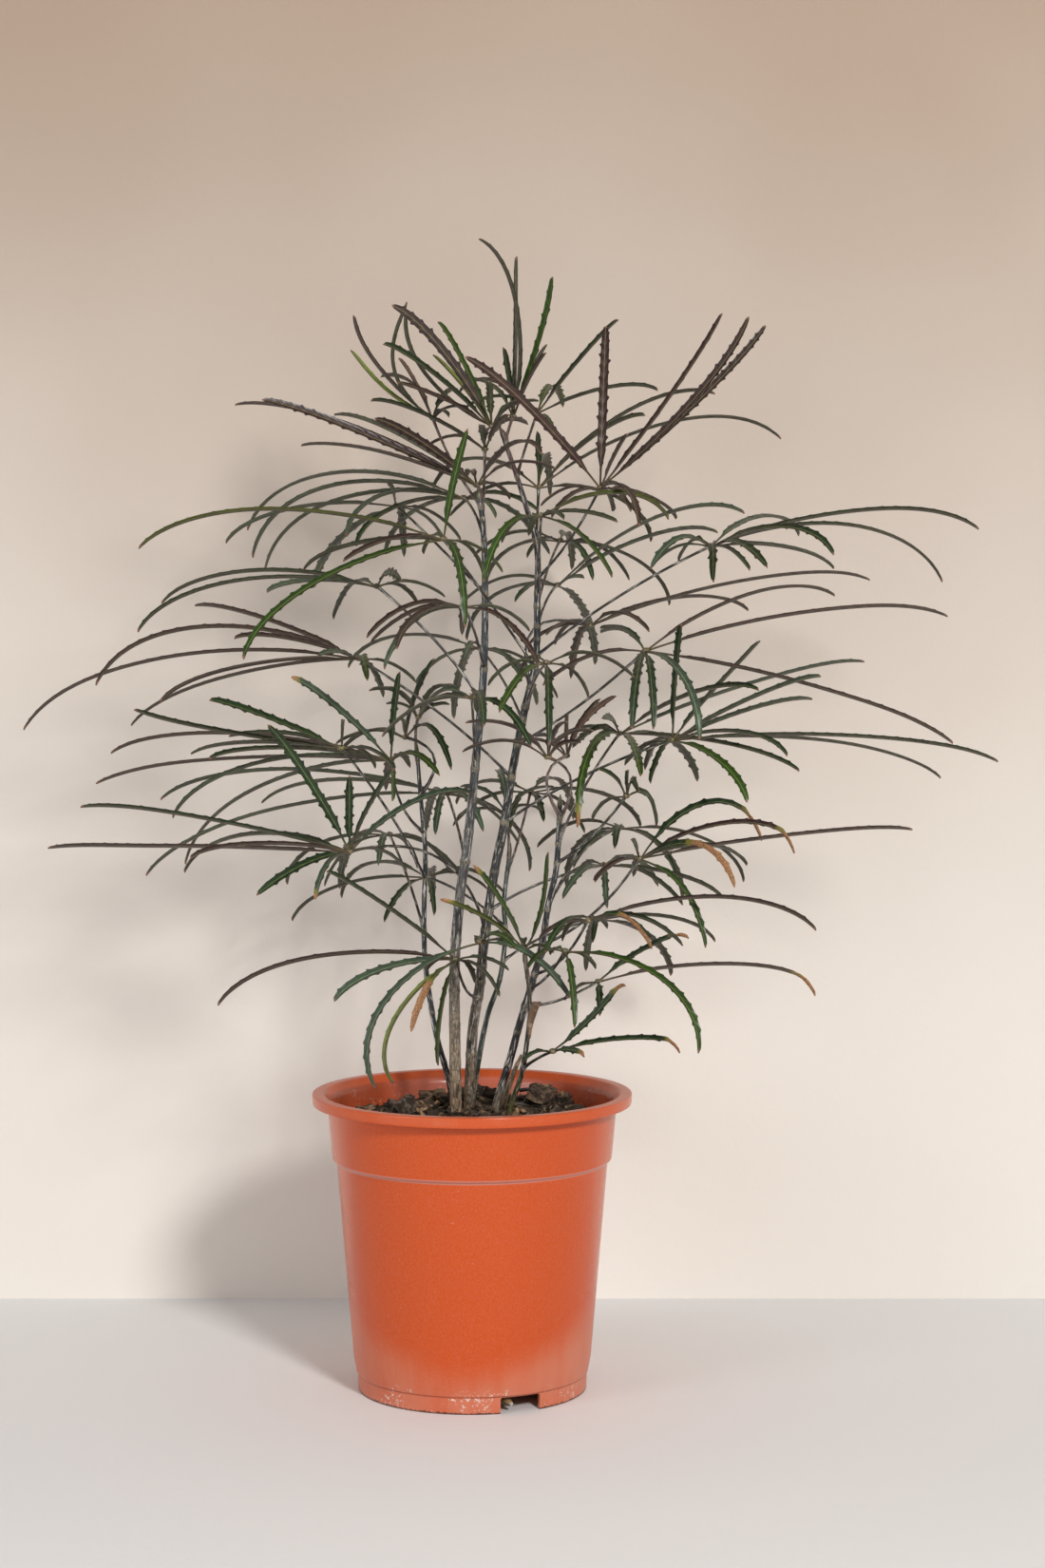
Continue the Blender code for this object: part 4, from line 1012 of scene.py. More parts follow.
def leaflet_markings() -> Group:
    """Midrib, side veins, mottling, pale foot and dried end of a leaflet.

    Returns:
        The group.
    """
    values = ("Across", "Along", "Teeth", "Chance", "Dry From", "Rib Share", "Vein Share")
    group = Group("Leaflet markings", colours=("Tone", "Rib"), values=values, places=("Place",))
    board, given = group.board, group.given
    place, plain, along = given["Place"], given["Tone"], given["Along"]
    off = abs(given["Across"] - 0.5)
    rib, beside = 1.0 - off.mask(0.022, 0.055), 1.0 - off.mask(0.10, 0.30)
    slant = board.math("FRACT", given["Teeth"] - off * 1.7)
    vein = (1.0 - abs(slant - 0.5).mask(0.02, 0.13)) * (1.0 - off.mask(0.34, 0.46))
    cloud, speckle = board.noise(place, 55.0, 2.0), board.noise(place, 900.0, 3.0, 0.7)
    tone = plain.mixed(plain.scaled((1.30, 1.42, 1.10)), cloud.mask(0.42, 0.66))
    tone = tone.mixed((0.085, 0.11, 0.085), given["Chance"].mask(0.5, 1.0) * 0.12)
    tone = tone.scaled(board.mix(speckle.mask(0.3, 0.7), (0.78, 0.78, 0.78), (1.25, 1.25, 1.25)))
    kin = given["Rib"].mixed(plain.scaled((5.0, 5.0, 5.0)), 0.55)
    tone = tone.mixed(tone.mixed(kin, 0.6), vein * given["Vein Share"])
    tone = tone.mixed(kin, beside * 0.06).mixed(kin, rib * given["Rib Share"])
    tone = tone.mixed((0.11, 0.080, 0.050), off.mask(0.455, 0.495) * 0.5)
    tone = tone.mixed((0.15, 0.115, 0.062), (1.0 - along.mask(0.03, 0.11)) * 0.75)
    tone = tone.mixed((0.26, 0.13, 0.085), along.mask(0.972, 0.992) * 0.8)
    drift = (board.noise(place, 260.0, 3.0) - 0.5) * 0.13
    late = along + drift - given["Dry From"]
    dry, edge = late.mask(0.0, 0.02), late.mask(-0.07, 0.0)
    tone = tone.mixed((0.33, 0.27, 0.055), edge * 0.55)
    parched = board.mix(speckle.mask(0.35, 0.65), (0.17, 0.075, 0.032), (0.43, 0.225, 0.105))
    wrinkle = dry * board.noise(place, 420.0, 3.0) * 1.6
    height = vein * -0.45 + rib * -1.0 + speckle * 0.30 + wrinkle
    return group.ended(tone.mixed(parched, dry), 0.25 + speckle * 0.14 + dry * 0.3, height)


def streaked_bark() -> Group:
    """Bark with pale streaks along it, dark patches, fine fissures and, where old, cracks.

    Returns:
        The group.
    """
    colours = ("Tone", "Streak Colour")
    group = Group("Streaked bark", colours=colours, values=("Streaks",), places=("Grain",))
    board, plain, grain = group.board, group.given["Tone"], group.given["Grain"]
    streak = board.noise(board.stretch(grain, (900.0, 900.0, 95.0)), 1.0, 4.0, 0.65)
    patch = board.noise(board.stretch(grain, (160.0, 160.0, 60.0)), 1.0, 2.0)
    fleck = board.noise(board.stretch(grain, (1700.0, 1700.0, 280.0)), 1.0, 2.0, 0.6)
    most = board.math("MINIMUM", 1.0, group.given["Streaks"] * 1.25)
    shown = streak.mask(0.54, 0.60) * most * patch.mask(0.36, 0.50)
    tone = plain.mixed(plain.scaled((0.34, 0.34, 0.36)), patch.mask(0.52, 0.70))
    tone = tone.scaled((0.50, 0.50, 0.50)).mixed(tone, fleck.mask(0.35, 0.65))
    tone = tone.mixed(group.given["Streak Colour"], shown)
    tone = tone.mixed(tone.scaled((0.25, 0.25, 0.25)), streak.mask(0.45, 0.40) * 0.85)
    old = board.value("ShaderNodeSeparateColor", {0: plain}).mask(0.10, 0.26)
    plates = {"Vector": board.stretch(grain, (420.0, 420.0, 150.0)), "Scale": 1.0}
    edge = board.value("ShaderNodeTexVoronoi", plates, feature="DISTANCE_TO_EDGE")
    crack = (1.0 - edge.mask(0.03, 0.10)) * patch * old
    tone = tone.mixed(plain.scaled((0.14, 0.13, 0.12)), crack * 1.3)
    return group.ended(tone, 0.17 + fleck * 0.30, streak * 1.0 + fleck * 0.35)


def handled_surface() -> Group:
    """Dust low down mixed with painted sheen, faint streaks, scuffs and mineral specks.

    Returns:
        The group.
    """
    values = ("Dust And Sheen Share", "Speck Share")
    group = Group("Handled surface", colours=("Base", "Dust"), values=values, places=("Place",))
    board, given = group.board, group.given
    place, dust_and_sheen_colour = given["Place"], given["Dust"]
    runs = board.noise(board.stretch(place, (70.0, 70.0, 7.0)), 1.0, 4.0)
    grit = board.noise(place, 700.0, 3.0, 0.7)
    # The share given brings dust and painted sheen alike, mixed in the same pale colour.
    dust_and_sheen = (board.noise(place, 9.0, 4.0) + runs * 0.6) * given["Dust And Sheen Share"]
    tone = given["Base"].mixed(dust_and_sheen_colour, dust_and_sheen.mask(0.25, 1.15))
    tone = tone.mixed(dust_and_sheen_colour, grit.mask(0.35, 0.75) * 0.22)
    wipe = board.noise(board.stretch(place, (260.0, 260.0, 900.0)), 1.0, 3.0, 0.7)
    scuff = wipe.mask(0.66, 0.74) * board.noise(place, 26.0, 2.0).mask(0.5, 0.62)
    tone = tone.mixed((0.86, 0.72, 0.64), scuff * 0.30)
    patch = board.noise(place, 42.0, 2.0).mask(0.50, 0.62)
    speck = board.noise(place, 420.0, 3.0, 0.7).mask(0.55, 0.66) * (patch * given["Speck Share"])
    rough = 0.27 + dust_and_sheen.mask(0.2, 1.2) * 0.25 + speck * 0.3
    height = grit * 0.35 + runs * 0.06 + speck * 0.8
    return group.ended(tone.mixed((0.80, 0.74, 0.68), speck), rough, height)


def crumbled() -> Group:
    """The mottled, crumbly look of bark, peat and dry paper-like husk.

    Returns:
        The group.
    """
    values = ("Scale", "Light Share")
    group = Group("Crumbled", colours=("Dark", "Light"), values=values, places=("Place",))
    board, given = group.board, group.given
    coarse = board.noise(given["Place"], given["Scale"], 4.0, 0.6)
    fine = board.noise(given["Place"], given["Scale"] * 6.0, 4.0, 0.7)
    share = coarse.mask(0.42, 0.66) + (fine - 0.5) * 0.9
    tone = given["Dark"].mixed(given["Light"], share * given["Light Share"])
    tone = tone.mixed(tone.scaled((0.3, 0.3, 0.3)), fine.mask(0.36, 0.30))
    return group.ended(tone, 0.72 + fine * 0.25, coarse + fine * 0.6)


@dataclass
class Effects:
    """The shared effects, each made once."""

    leaflet: Group = field(default_factory=leaflet_markings)
    bark: Group = field(default_factory=streaked_bark)
    handled: Group = field(default_factory=handled_surface)
    crumbled: Group = field(default_factory=crumbled)


@dataclass(frozen=True)
class Finish:
    """What every finish has: its name, and a surface that is laid out once as a material."""

    name: str

    def surface(self, board: Board, effects: Effects) -> Value:
        """The shader of the finish."""
        raise NotImplementedError

    def material(self, effects: Effects) -> bpy.types.Material:
        """The finish as a material.

        Args:
            effects: the shared effects.

        Returns:
            The material.
        """
        made = bpy.data.materials.new(self.name)
        made.use_nodes = True
        board = Board(made.node_tree)
        board.node("ShaderNodeOutputMaterial", {"Surface": self.surface(board, effects)})
        return made


@dataclass(frozen=True)
class LeafletFinish(Finish):
    """One face of the leaflets."""

    rib: RGB
    rib_share: float
    vein_share: float
    tint_share: float = 0.0
    gloss: float = 0.0
    tint: RGB = (0.085, 0.070, 0.058)
    relief: float = 0.12 * MM

    def surface(self, board: Board, effects: Effects) -> Value:
        """The shader, with the leaflet's own colour under its markings.

        Args:
            board: the material's board.
            effects: the shared effects.

        Returns:
            The shader.
        """
        growth = board.attribute("growth")
        parts = board.values("ShaderNodeSeparateColor", {0: growth["Color"]})
        spread = board.values("ShaderNodeUVMap", uv_map="UVMap")["UV"]
        colour, rough, height = effects.leaflet.placed(board, {
            "Tone": board.mix(self.tint_share, board.attribute("tone")["Color"], self.tint),
            "Across": board.value("ShaderNodeSeparateXYZ", {0: spread}),
            "Along": parts["Red"], "Teeth": parts["Green"], "Chance": parts["Blue"],
            "Dry From": growth["Alpha"], "Rib": self.rib, "Rib Share": self.rib_share,
            "Vein Share": self.vein_share, "Place": board.place()})
        rough = rough + self.gloss
        return board.shader(colour, rough, height, self.relief, Specular_IOR_Level=0.36)


@dataclass(frozen=True)
class BarkFinish(Finish):
    """The skin of stems, stalks and knots."""

    streaks: RGB
    relief: float = 0.30 * MM

    def surface(self, board: Board, effects: Effects) -> Value:
        """The shader, with the piece's own colour under the streaks.

        Args:
            board: the material's board.
            effects: the shared effects.

        Returns:
            The shader.
        """
        tone = board.attribute("tone")
        looks = effects.bark.placed(board, {
            "Tone": tone["Color"], "Streaks": tone["Alpha"], "Streak Colour": self.streaks,
            "Grain": board.attribute("grain")["Vector"]})
        return board.shader(*looks, self.relief)


@dataclass(frozen=True)
class PlasticFinish(Finish):
    """The pot's moulded plastic: brightest in the middle, with painted sheen and painted shade."""

    # Dust gathers at the foot and the rim; up the left and right sides the same pale colour is a
    # painted sheen.
    base: RGB
    dust_and_sheen_colour: RGB
    axis: Sequence[float]
    relief: float = 0.10 * MM

    def surface(self, board: Board, effects: Effects) -> Value:
        """The shader, laid out about the pot's axis.

        Args:
            board: the material's board.
            effects: the shared effects.

        Returns:
            The shader.
        """
        centred = {"Vector": board.place(), "Location": (-self.axis[0], -self.axis[1], 0.0)}
        place = board.value("ShaderNodeMapping", centred)
        x, y, z = board.values("ShaderNodeSeparateXYZ", {0: place}).values()
        # beside falls towards the left and right sides as seen from the front; through low it
        # raises the dust share up those sides, where it is painted sheen, while at the foot it is
        # dust.
        beside = x * x * -4.5
        low = 1.0 - (z + beside).mask(0.004, 0.062)
        lip = z.mask(0.2165, 0.2195)
        radius = board.math("SQRT", x * x + y * y)
        wall = radius - z * 0.159
        # inside marks the inside of the mouth: for painted shade below, and for lime specks.
        inside = z.mask(0.196, 0.208) * (1.0 - wall.mask(0.0732, 0.0741))
        lime = 1.0 - z.mask(0.013, 0.020)
        tone, rough, height = effects.handled.placed(board, {
            "Base": self.base, "Dust": self.dust_and_sheen_colour, "Place": place,
            "Dust And Sheen Share": 0.15 + (low * 0.78 + lip * 0.35),
            "Speck Share": lime * 0.9 + inside * 0.6})
        # step marks the small ledge under the band, where a pale line is a painted highlight.
        step = z.mask(0.1724, 0.1734) * z.mask(0.1768, 0.1758) * radius.mask(0.1010, 0.1018)
        seam = z.mask(0.0119, 0.0125) * z.mask(0.0137, 0.0131)
        # Dirt and a painted contact shadow darken the bottom edge where the pot meets the ground.
        soiled_and_contact_shadow = 1.0 - (z + board.noise(place, 380.0, 3.0) * -0.0040).mask(-0.0012, -0.0004)
        # middle marks the centre of the mouth's inside, where painted light goes.
        middle = inside * beside.mask(-0.027, -0.0054)
        for colour, share in (
            # Painted shade darkens the inside of the mouth; painted light makes its middle paler
            # again.
            ((0.17, 0.036, 0.018), inside * 0.5), ((0.62, 0.165, 0.10), middle * 0.85),
            # A painted highlight along the step; a dark seam where the foot ring meets the body.
            ((0.54, 0.30, 0.26), step * 0.6), ((0.20, 0.04, 0.02), seam * 0.55),
            # Dirt and painted contact shadow along the bottom edge.
            ((0.045, 0.022, 0.016), soiled_and_contact_shadow * 0.85),
        ):
            tone = tone.mixed(colour, share)
        gloss = {"Specular_IOR_Level": 0.34, "Coat_Weight": 0.14, "Coat_Roughness": 0.16}
        return board.shader(tone, rough, height, self.relief, **gloss)


@dataclass(frozen=True)
class CrumbledFinish(Finish):
    """Bark mix, chips and husk: two colours in crumbs. A light one of None is each crumb's own."""

    dark: RGB
    light: RGB | None
    scale: float
    share: float
    relief: float

    def surface(self, board: Board, effects: Effects) -> Value:
        """The shader with its crumbs.

        Args:
            board: the material's board.
            effects: the shared effects.

        Returns:
            The shader.
        """
        looks = effects.crumbled.placed(board, {
            "Dark": self.dark, "Light": self.light or board.attribute("tone")["Color"],
            "Place": board.place(), "Scale": self.scale, "Light Share": self.share})
        return board.shader(*looks, self.relief, Specular_IOR_Level=0.22)


@dataclass(frozen=True)
class StagePaint(Finish):
    """A chalky paint, one colour low down and another high up, which may be clear from behind."""

    low: RGB
    high: RGB
    see_through: bool = False
    relief: float = 0.2 * MM

    def surface(self, board: Board, effects: Effects) -> Value:
        """The shader, which on the wall doesn't hide the plant from behind.

        Args:
            board: the material's board.
            effects: the shared effects.

        Returns:
            The shader.
        """
        place = board.place()
        cloud = (board.noise(place, 1.6, 3.0) - 0.5) * 0.5
        height = board.values("ShaderNodeSeparateXYZ", {0: place})["Z"]
        # Low to high: on the wall this is painted light low down fading to painted shade high up.
        tone = board.mix((height + cloud).mask(-0.1, 1.25), self.low, self.high)
        surface = board.shader(tone, 0.85, board.noise(place, 240.0, 3.0), self.relief)
        if not self.see_through:
            return surface
        clear = board.value("ShaderNodeBsdfTransparent", {})
        behind = board.values("ShaderNodeNewGeometry")["Backfacing"]
        return board.value("ShaderNodeMixShader", {0: behind, 1: surface, 2: clear})


# Sub-assemblies


@dataclass
class SubAssembly:
    """What every sub-assembly knows: where the pot's axis stands, and the shared effects."""

    axis: Sequence[float]
    effects: Effects

    def piece(self, name: str, bm: Mesh, sharp: float | None = None) -> Piece:
        """A piece in its place, with its faces turned outward.

        Args:
            name: the piece's name.
            bm: the mesh in the making about the pot's axis, which is freed.
            sharp: the angle in degrees from which edges of a smooth piece stay sharp.

        Returns:
            The piece.
        """
        bmesh.ops.recalc_face_normals(bm, faces=bm.faces)
        bmesh.ops.translate(bm, vec=Vector(self.axis), verts=bm.verts)
        made = new_piece(name, bm)
        if sharp is not None:
            made.data.shade_smooth()
            made.data.set_sharp_from_angle(angle=math.radians(sharp))
        return made

    def settle(self, piece: Piece, node: str, slot: str, *looks: bpy.types.Material) -> Piece:
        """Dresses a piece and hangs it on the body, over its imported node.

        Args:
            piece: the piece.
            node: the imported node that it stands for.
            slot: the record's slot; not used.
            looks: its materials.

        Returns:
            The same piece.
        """
        for look in looks:
            piece.data.materials.append(look)
        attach(piece, "root")
        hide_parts(node)
        return piece


@dataclass
class NurseryPot(SubAssembly):
    """The moulded pot: lip, band, step, tapering body, floor with drain holes, notched foot."""

    rim_radius: float = 120.7 * MM
    rim_height: float = 225.0 * MM
    lip_depth: float = 8.0 * MM
    mouth_radius: float = 111.6 * MM
    band_top: float = 109.2 * MM
    band_foot: float = 105.4 * MM
    band_foot_height: float = 175.6 * MM
    body_top: float = 102.3 * MM
    body_top_height: float = 173.6 * MM
    body_foot: float = 89.8 * MM
    body_foot_height: float = 24.0 * MM
    foot_radius: float = 86.8 * MM
    foot_height: float = 12.6 * MM
    foot_wall: float = 3.0 * MM
    wall: float = 2.1 * MM
    floor_underside: float = 13.6 * MM
    floor_top: float = 15.8 * MM
    notch_angle: float = math.radians(-64.7)
    notch_size: Point = (26.0 * MM, 32.0 * MM, 12.2 * MM)
    notches: int = 2
    drain_radius: float = 6.0 * MM
    drain_ring: float = 62.0 * MM
    drains: int = 6
    turns: int = 144

    def inner_wall(self, height: float) -> float:
        """The radius of the inner wall at a height above the ground.

        Args:
            height: the height.

        Returns:
            The radius.
        """
        heights = (self.floor_top, self.body_top_height, self.rim_height - self.lip_depth)
        radii = (self.body_foot - 1.9 * MM, self.body_top, self.band_top)
        return float(np.interp(height, heights, radii)) - self.wall

    def outline(self) -> list[Point]:
        """Corners as (radius, height, rounding), up the inside and down the outside.

        Returns:
            The corners from the middle of the floor's top to the middle of its underside.
        """
        lip_foot = self.rim_height - self.lip_depth
        foot_inside = self.foot_radius - self.foot_wall
        return [
            (0.0, self.floor_top, 0.0),
            (self.inner_wall(self.floor_top), self.floor_top, 2.0),
            (self.inner_wall(self.body_top_height), self.body_top_height, 1.0),
            (self.inner_wall(lip_foot), lip_foot, 2.0),
            (self.mouth_radius, self.rim_height, 1.6),
            (self.rim_radius, self.rim_height, 1.3),
            (self.rim_radius - 0.5 * MM, lip_foot, 0.9),
            (self.band_top, lip_foot, 0.8),
            (self.band_foot, self.band_foot_height, 0.7),
            (self.body_top, self.body_top_height, 0.8),
            (self.body_foot, self.body_foot_height, 5.0),
            (self.foot_radius + 0.9 * MM, self.foot_height + 0.8 * MM, 0.5),
            (self.foot_radius, self.foot_height, 0.4),
            (self.foot_radius - 0.3 * MM, 0.0, 0.7),
            (foot_inside, 0.0, 0.7),
            (foot_inside - 0.6 * MM, self.floor_underside, 1.0),
            (0.0, self.floor_underside, 0.0),
        ]

    def rounded_outline(self) -> list[tuple[float, float]]:
        """The outline with its corners rounded.

        Returns:
            (radius, height) of its points.
        """
        corners = self.outline()
        made = [corners[0][:2]]
        for (*before, _), (*here, size), (*after, _) in zip(corners, corners[1:], corners[2:]):
            spot = np.array(here)
            ways = np.array(before) - spot, np.array(after) - spot
            ends = [min(size * MM, 0.45 * np.linalg.norm(way)) for way in ways]
            one, other = (spot + unit(way) * end for way, end in zip(ways, ends))
            for t in (0.0, 0.25, 0.5, 0.75, 1.0):
                point = (1 - t) ** 2 * one + 2 * t * (1 - t) * spot + t**2 * other
                made.append((float(point[0]), float(point[1])))
        return [*made, corners[-1][:2]]

    def around(self, radius: float, number: int, count_of: int) -> Point:
        """A place on a ring on the ground. The first one stands at the front notch."""
        angle = self.notch_angle + FULL_TURN * number / count_of
        return radius * math.cos(angle), radius * math.sin(angle), 0.0

    def cutters(self) -> bpy.types.Collection:
        """Cuts for the drain holes and for the notches in the foot ring.

        Returns:
            A collection of cutters.
        """
        made = bpy.data.collections.new("pot_cuts")
        bpy.context.scene.collection.children.link(made)
        shapes = []
        for hole in range(self.drains):
            bm = bmesh.new()
            size = {"radius1": self.drain_radius, "radius2": self.drain_radius, "depth": 12 * MM}
            bmesh.ops.create_cone(bm, cap_ends=True, segments=32, **size)
            x, y, _ = self.around(self.drain_ring, hole, self.drains)
            shapes.append((bm, Matrix.Translation((x, y, self.floor_top))))
        depth, width, height = self.notch_size
        for notch in range(self.notches):
            bm = bmesh.new()
            bmesh.ops.create_cube(bm, size=1.0)
            bmesh.ops.scale(bm, vec=(depth, width, 2 * height), verts=bm.verts)
            spans = [(edge, edge.verts[0].co.x - edge.verts[1].co.x) for edge in bm.edges]
            tops = [edge for edge, span in spans if abs(span) > 20 * MM]
            bevel = {"offset": 1.6 * MM, "segments": 4, "profile": 0.5, "material": -1}
            bmesh.ops.bevel(bm, geom=tops, affect="EDGES", **bevel)
            spot = Matrix.Translation(self.around(self.foot_radius, notch, self.notches))
            turn = Matrix.Rotation(self.notch_angle + FULL_TURN * notch / self.notches, 4, "Z")
            shapes.append((bm, spot @ turn))
        for bm, place in shapes:
            bmesh.ops.transform(bm, matrix=place, verts=bm.verts)
            bmesh.ops.recalc_face_normals(bm, faces=bm.faces)
            new_piece("cut", bm, made)
        return made

    def build(self) -> list[Piece]:
        """The pot in its place, with its openings cut, in its plastic.

        Returns:
            The piece.
        """
        bm = turned_shape(self.rounded_outline(), self.turns)
        bmesh.ops.recalc_face_normals(bm, faces=bm.faces)
        shell, cuts = new_piece("turned_pot", bm), self.cutters()
        cut = shell.modifiers.new("Openings", "BOOLEAN")
        cut.operation, cut.solver = "DIFFERENCE", "EXACT"
        cut.operand_type, cut.collection = "COLLECTION", cuts
        bpy.context.view_layer.update()
        depsgraph = bpy.context.evaluated_depsgraph_get()
        mesh = bpy.data.meshes.new_from_object(shell.evaluated_get(depsgraph))
        bm = bmesh.new()
        bm.from_mesh(mesh)
        bmesh.ops.remove_doubles(bm, verts=bm.verts, dist=0.00001)
        bpy.data.batch_remove((*cuts.objects, shell, cuts, mesh))
        colours = ((0.56, 0.070, 0.004), (0.60, 0.215, 0.130))
        plastic = PlasticFinish("pot_plastic", *colours, self.axis).material(self.effects)
        return [self.settle(self.piece("pot_shell", bm, 32), "pot", "pot_plastic", plastic)]


@dataclass
class BarkSoil(SubAssembly):
    """The fill of bark mix with chips, crumbs, fibres, dead stalks and the root at the drain."""

    pot: NurseryPot
    edge: float = 202.0 * MM
    mound: float = 8.0 * MM
    relief: float = 2.0 * MM
    gap: float = 0.35 * MM
    # (across, deep, spread, rise) in millimetres
    heaps: tuple[tuple[float, ...], ...] = (
        (56, 38, 20, 9), (-14, 34, 18, 7), (14, 52, 20, 6), (-48, -8, 14, 4),
    )
    rings: int = 36
    turns: int = 120
    crumbs: int = 620
    crumb_reach: float = 97 * MM
    small_chips: int = 110
    chip_reach: float = 93 * MM
    fibres: int = 190
    fibre_reach: float = 90 * MM

    def height(self, x: float, y: float) -> float:
        """The soil's surface: a low mound with lumps, at a place about the pot's axis.

        Args:
            x: across from the axis.
            y: behind the axis.

        Returns:
            The height above the ground.
        """
        share = 1.0 - min(1.0, math.hypot(x, y) / self.pot.inner_wall(self.edge)) ** 2
        lumps = math.sin(x * 190 + 1.3) * math.cos(y * 170 - 0.4)
        lumps += 0.6 * math.sin(x * 410 - y * 330)
        heaps = 0.0
        for across, deep, spread, rise in self.heaps:
            away = math.hypot(x / MM - across, y / MM - deep)
            heaps += rise * math.exp(-(away**2) / spread**2)
        lumpy = (self.relief * lumps + heaps * MM) * min(1.0, 4 * share)
        return self.edge + self.mound * share + lumpy

    def rough_height(self, x: float, y: float) -> float:
        """The surface with its crumbs.

        Args:
            x: across from the axis.
            y: behind the axis.

        Returns:
            The height above the ground.
        """
        fade = min(1.0, 14 * (1.0 - math.hypot(x, y) / self.pot.inner_wall(self.edge)))
        fine = noise.noise(Vector((x * 210, y * 210, 3.0)))
        fine += 0.6 * noise.noise(Vector((x * 520, y * 520, 9.0)))
        return self.height(x, y) + 1.6 * MM * fine * max(0.0, fade)

    def build_bed(self) -> Piece:
        """The fill itself.

        Returns:
            The piece.
        """
        wall = self.pot.inner_wall(self.edge) - self.gap
        floor = self.pot.floor_top + self.gap
        shares = np.linspace(0.0, 0.985, self.rings)
        line = [(wall * share, self.edge + 1.0 * MM) for share in shares]
        line.append((wall, self.edge))
        for height in (self.pot.body_top_height, floor):
            line.append((self.pot.inner_wall(height) - self.gap, height))
        bm = turned_shape([*line, (0.0, floor)], self.turns)
        for vert in bm.verts:
            if vert.co.z > self.edge + 0.5 * MM:
                vert.co.z = self.rough_height(vert.co.x, vert.co.y)
        return self.piece("soil_bed", bm, 50)

    def spot(self, draw: random.Random, reach: float) -> tuple[float, float]:
        """A chance place on the soil within a reach."""
        angle, radius = draw.uniform(0, FULL_TURN), reach * math.sqrt(draw.uniform(0.0, 1.0))
        return radius * math.cos(angle), radius * math.sin(angle)

    def raised(self, x: float, y: float, lift: float) -> Matrix:
        """A place over the soil's surface."""
        return Matrix.Translation((x, y, self.height(x, y) + lift))

    def chip(self, mesh: Making, size: Point, place: Matrix, cuts: int, tone: RGB) -> None:
        """Adds one rough chip.

        Args:
            mesh: the mesh that it is added to.
            size: length, width and thickness in millimetres.
            place: where it goes and how it is turned.
            cuts: how often its edges are cut.
            tone: its colour.
        """
        bm, draw, first = mesh.bm, mesh.draw, len(mesh.bm.verts)
        verts = bmesh.ops.create_cube(bm, size=1.0)["verts"]
        bmesh.ops.scale(bm, vec=Vector(size) * MM, verts=verts)
        for vert in verts:
            vert.co.x *= draw.uniform(0.62, 1.0)
            vert.co.y *= draw.uniform(0.55, 1.0)
            vert.co.z *= draw.uniform(0.6, 1.1)
        edges = list({edge for vert in verts for edge in vert.link_edges})
        bmesh.ops.subdivide_edges(bm, edges=edges, cuts=cuts, use_grid_fill=True)
        bm.verts.ensure_lookup_table()
        verts = bm.verts[first:]
        seed = draw.uniform(0, 90)
        for vert in verts:
            spot = Vector(vert.co) * 230 + Vector((seed, 0, 0))
            vert.co += noise.noise_vector(spot) * 0.16 * min(size[0], size[1]) * MM
            vert[mesh.tone] = (*tone, 1.0)
        bmesh.ops.transform(bm, matrix=place, verts=verts)

    def build_chips(self) -> Piece:
        """The pieces of bark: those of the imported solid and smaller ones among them.

        Returns:
            The piece.
        """
        mesh = Making()
        draw = mesh.draw
        for (angle, distance, length, width, thickness, tilt), tone in zip(BARK, BARK_TONES):
            heading = math.radians(angle)
            x, y = distance * MM * math.cos(heading), distance * MM * math.sin(heading)
            turn = Euler((math.radians(tilt), 0.0, draw.uniform(0, math.pi))).to_matrix().to_4x4()
            size = (1.1 * length, 1.15 * width, thickness)
            self.chip(mesh, size, self.raised(x, y, 3.8 * MM) @ turn, 3, tone)
        for _ in range(self.small_chips):
            x, y = self.spot(draw, self.chip_reach)
            angles = (draw.uniform(-0.9, 0.9), draw.uniform(-0.6, 0.6), draw.uniform(0, 6.3))
            size = (draw.uniform(6, 19), draw.uniform(4, 10), draw.uniform(1.8, 4))
            tone, turn = draw.choice(CRUMB_TONES), Euler(angles).to_matrix().to_4x4()
            self.chip(mesh, size, self.raised(x, y, 1.6 * MM) @ turn, 1, tone)
        return self.piece("bark_chips", mesh.bm, 40)

    def build_crumbs(self) -> Piece:
        """The loose crumbs.

        Returns:
            The piece.
        """
        mesh = Making(SEED + 3)
        draw = mesh.draw
        for _ in range(self.crumbs):
            x, y = self.spot(draw, self.crumb_reach)
            size = draw.uniform(0.9, 2.9) * MM
            turn = Euler((draw.uniform(0, 6.3), draw.uniform(0, 6.3), 0.0)).to_matrix().to_4x4()
            stretch = [draw.uniform(*ends) for ends in ((0.6, 1.7), (0.6, 1.2), (0.4, 0.9))]
            place = self.raised(x, y, 0.6 * size) @ turn @ Matrix.Diagonal((*stretch, 1.0))
            ball = bmesh.ops.create_icosphere(mesh.bm, subdivisions=1, radius=size, matrix=place)
            tone = draw.choice(CRUMB_TONES)
            for vert in ball["verts"]:
                vert.co += Vector([draw.uniform(-0.28, 0.28) * size for _ in range(3)])
                vert[mesh.tone] = (*tone, 1.0)
        return self.piece("soil_crumbs", mesh.bm)

    def add_fibres(self, mesh: Growing) -> None:
        """The fine root fibres that lie on the soil.

        Args:
            mesh: the mesh that they are added to.
        """
        draw = mesh.draw
        for fibre in range(self.fibres):
            x, y = self.spot(draw, self.fibre_reach)
            length, way = draw.uniform(6, 26) * MM, draw.uniform(0, 6.3)
            end = (x + length * math.cos(way), y + length * math.sin(way))
            if math.hypot(*end) > self.fibre_reach + 4 * MM:
                continue
            start_point = np.array((x, y, self.height(x, y) + 0.2 * MM))
            end_point = np.array((*end, self.height(*end) + draw.uniform(-0.5, 2.0) * MM))
            line = arc(start_point, end_point, draw.uniform(0.5, 3.5) * MM, 6)
            bends = [[draw.uniform(-1, 1), draw.uniform(-1, 1)] for _ in line[1:-1]]
            line[1:-1, :2] += np.array(bends) * 0.9 * MM
            thick = draw.uniform(0.18, 0.5) * MM
            mesh.rod(line, [thick] * 6, 4, [draw.choice(FIBRE_TONES)] * 6, fibre * 0.13)

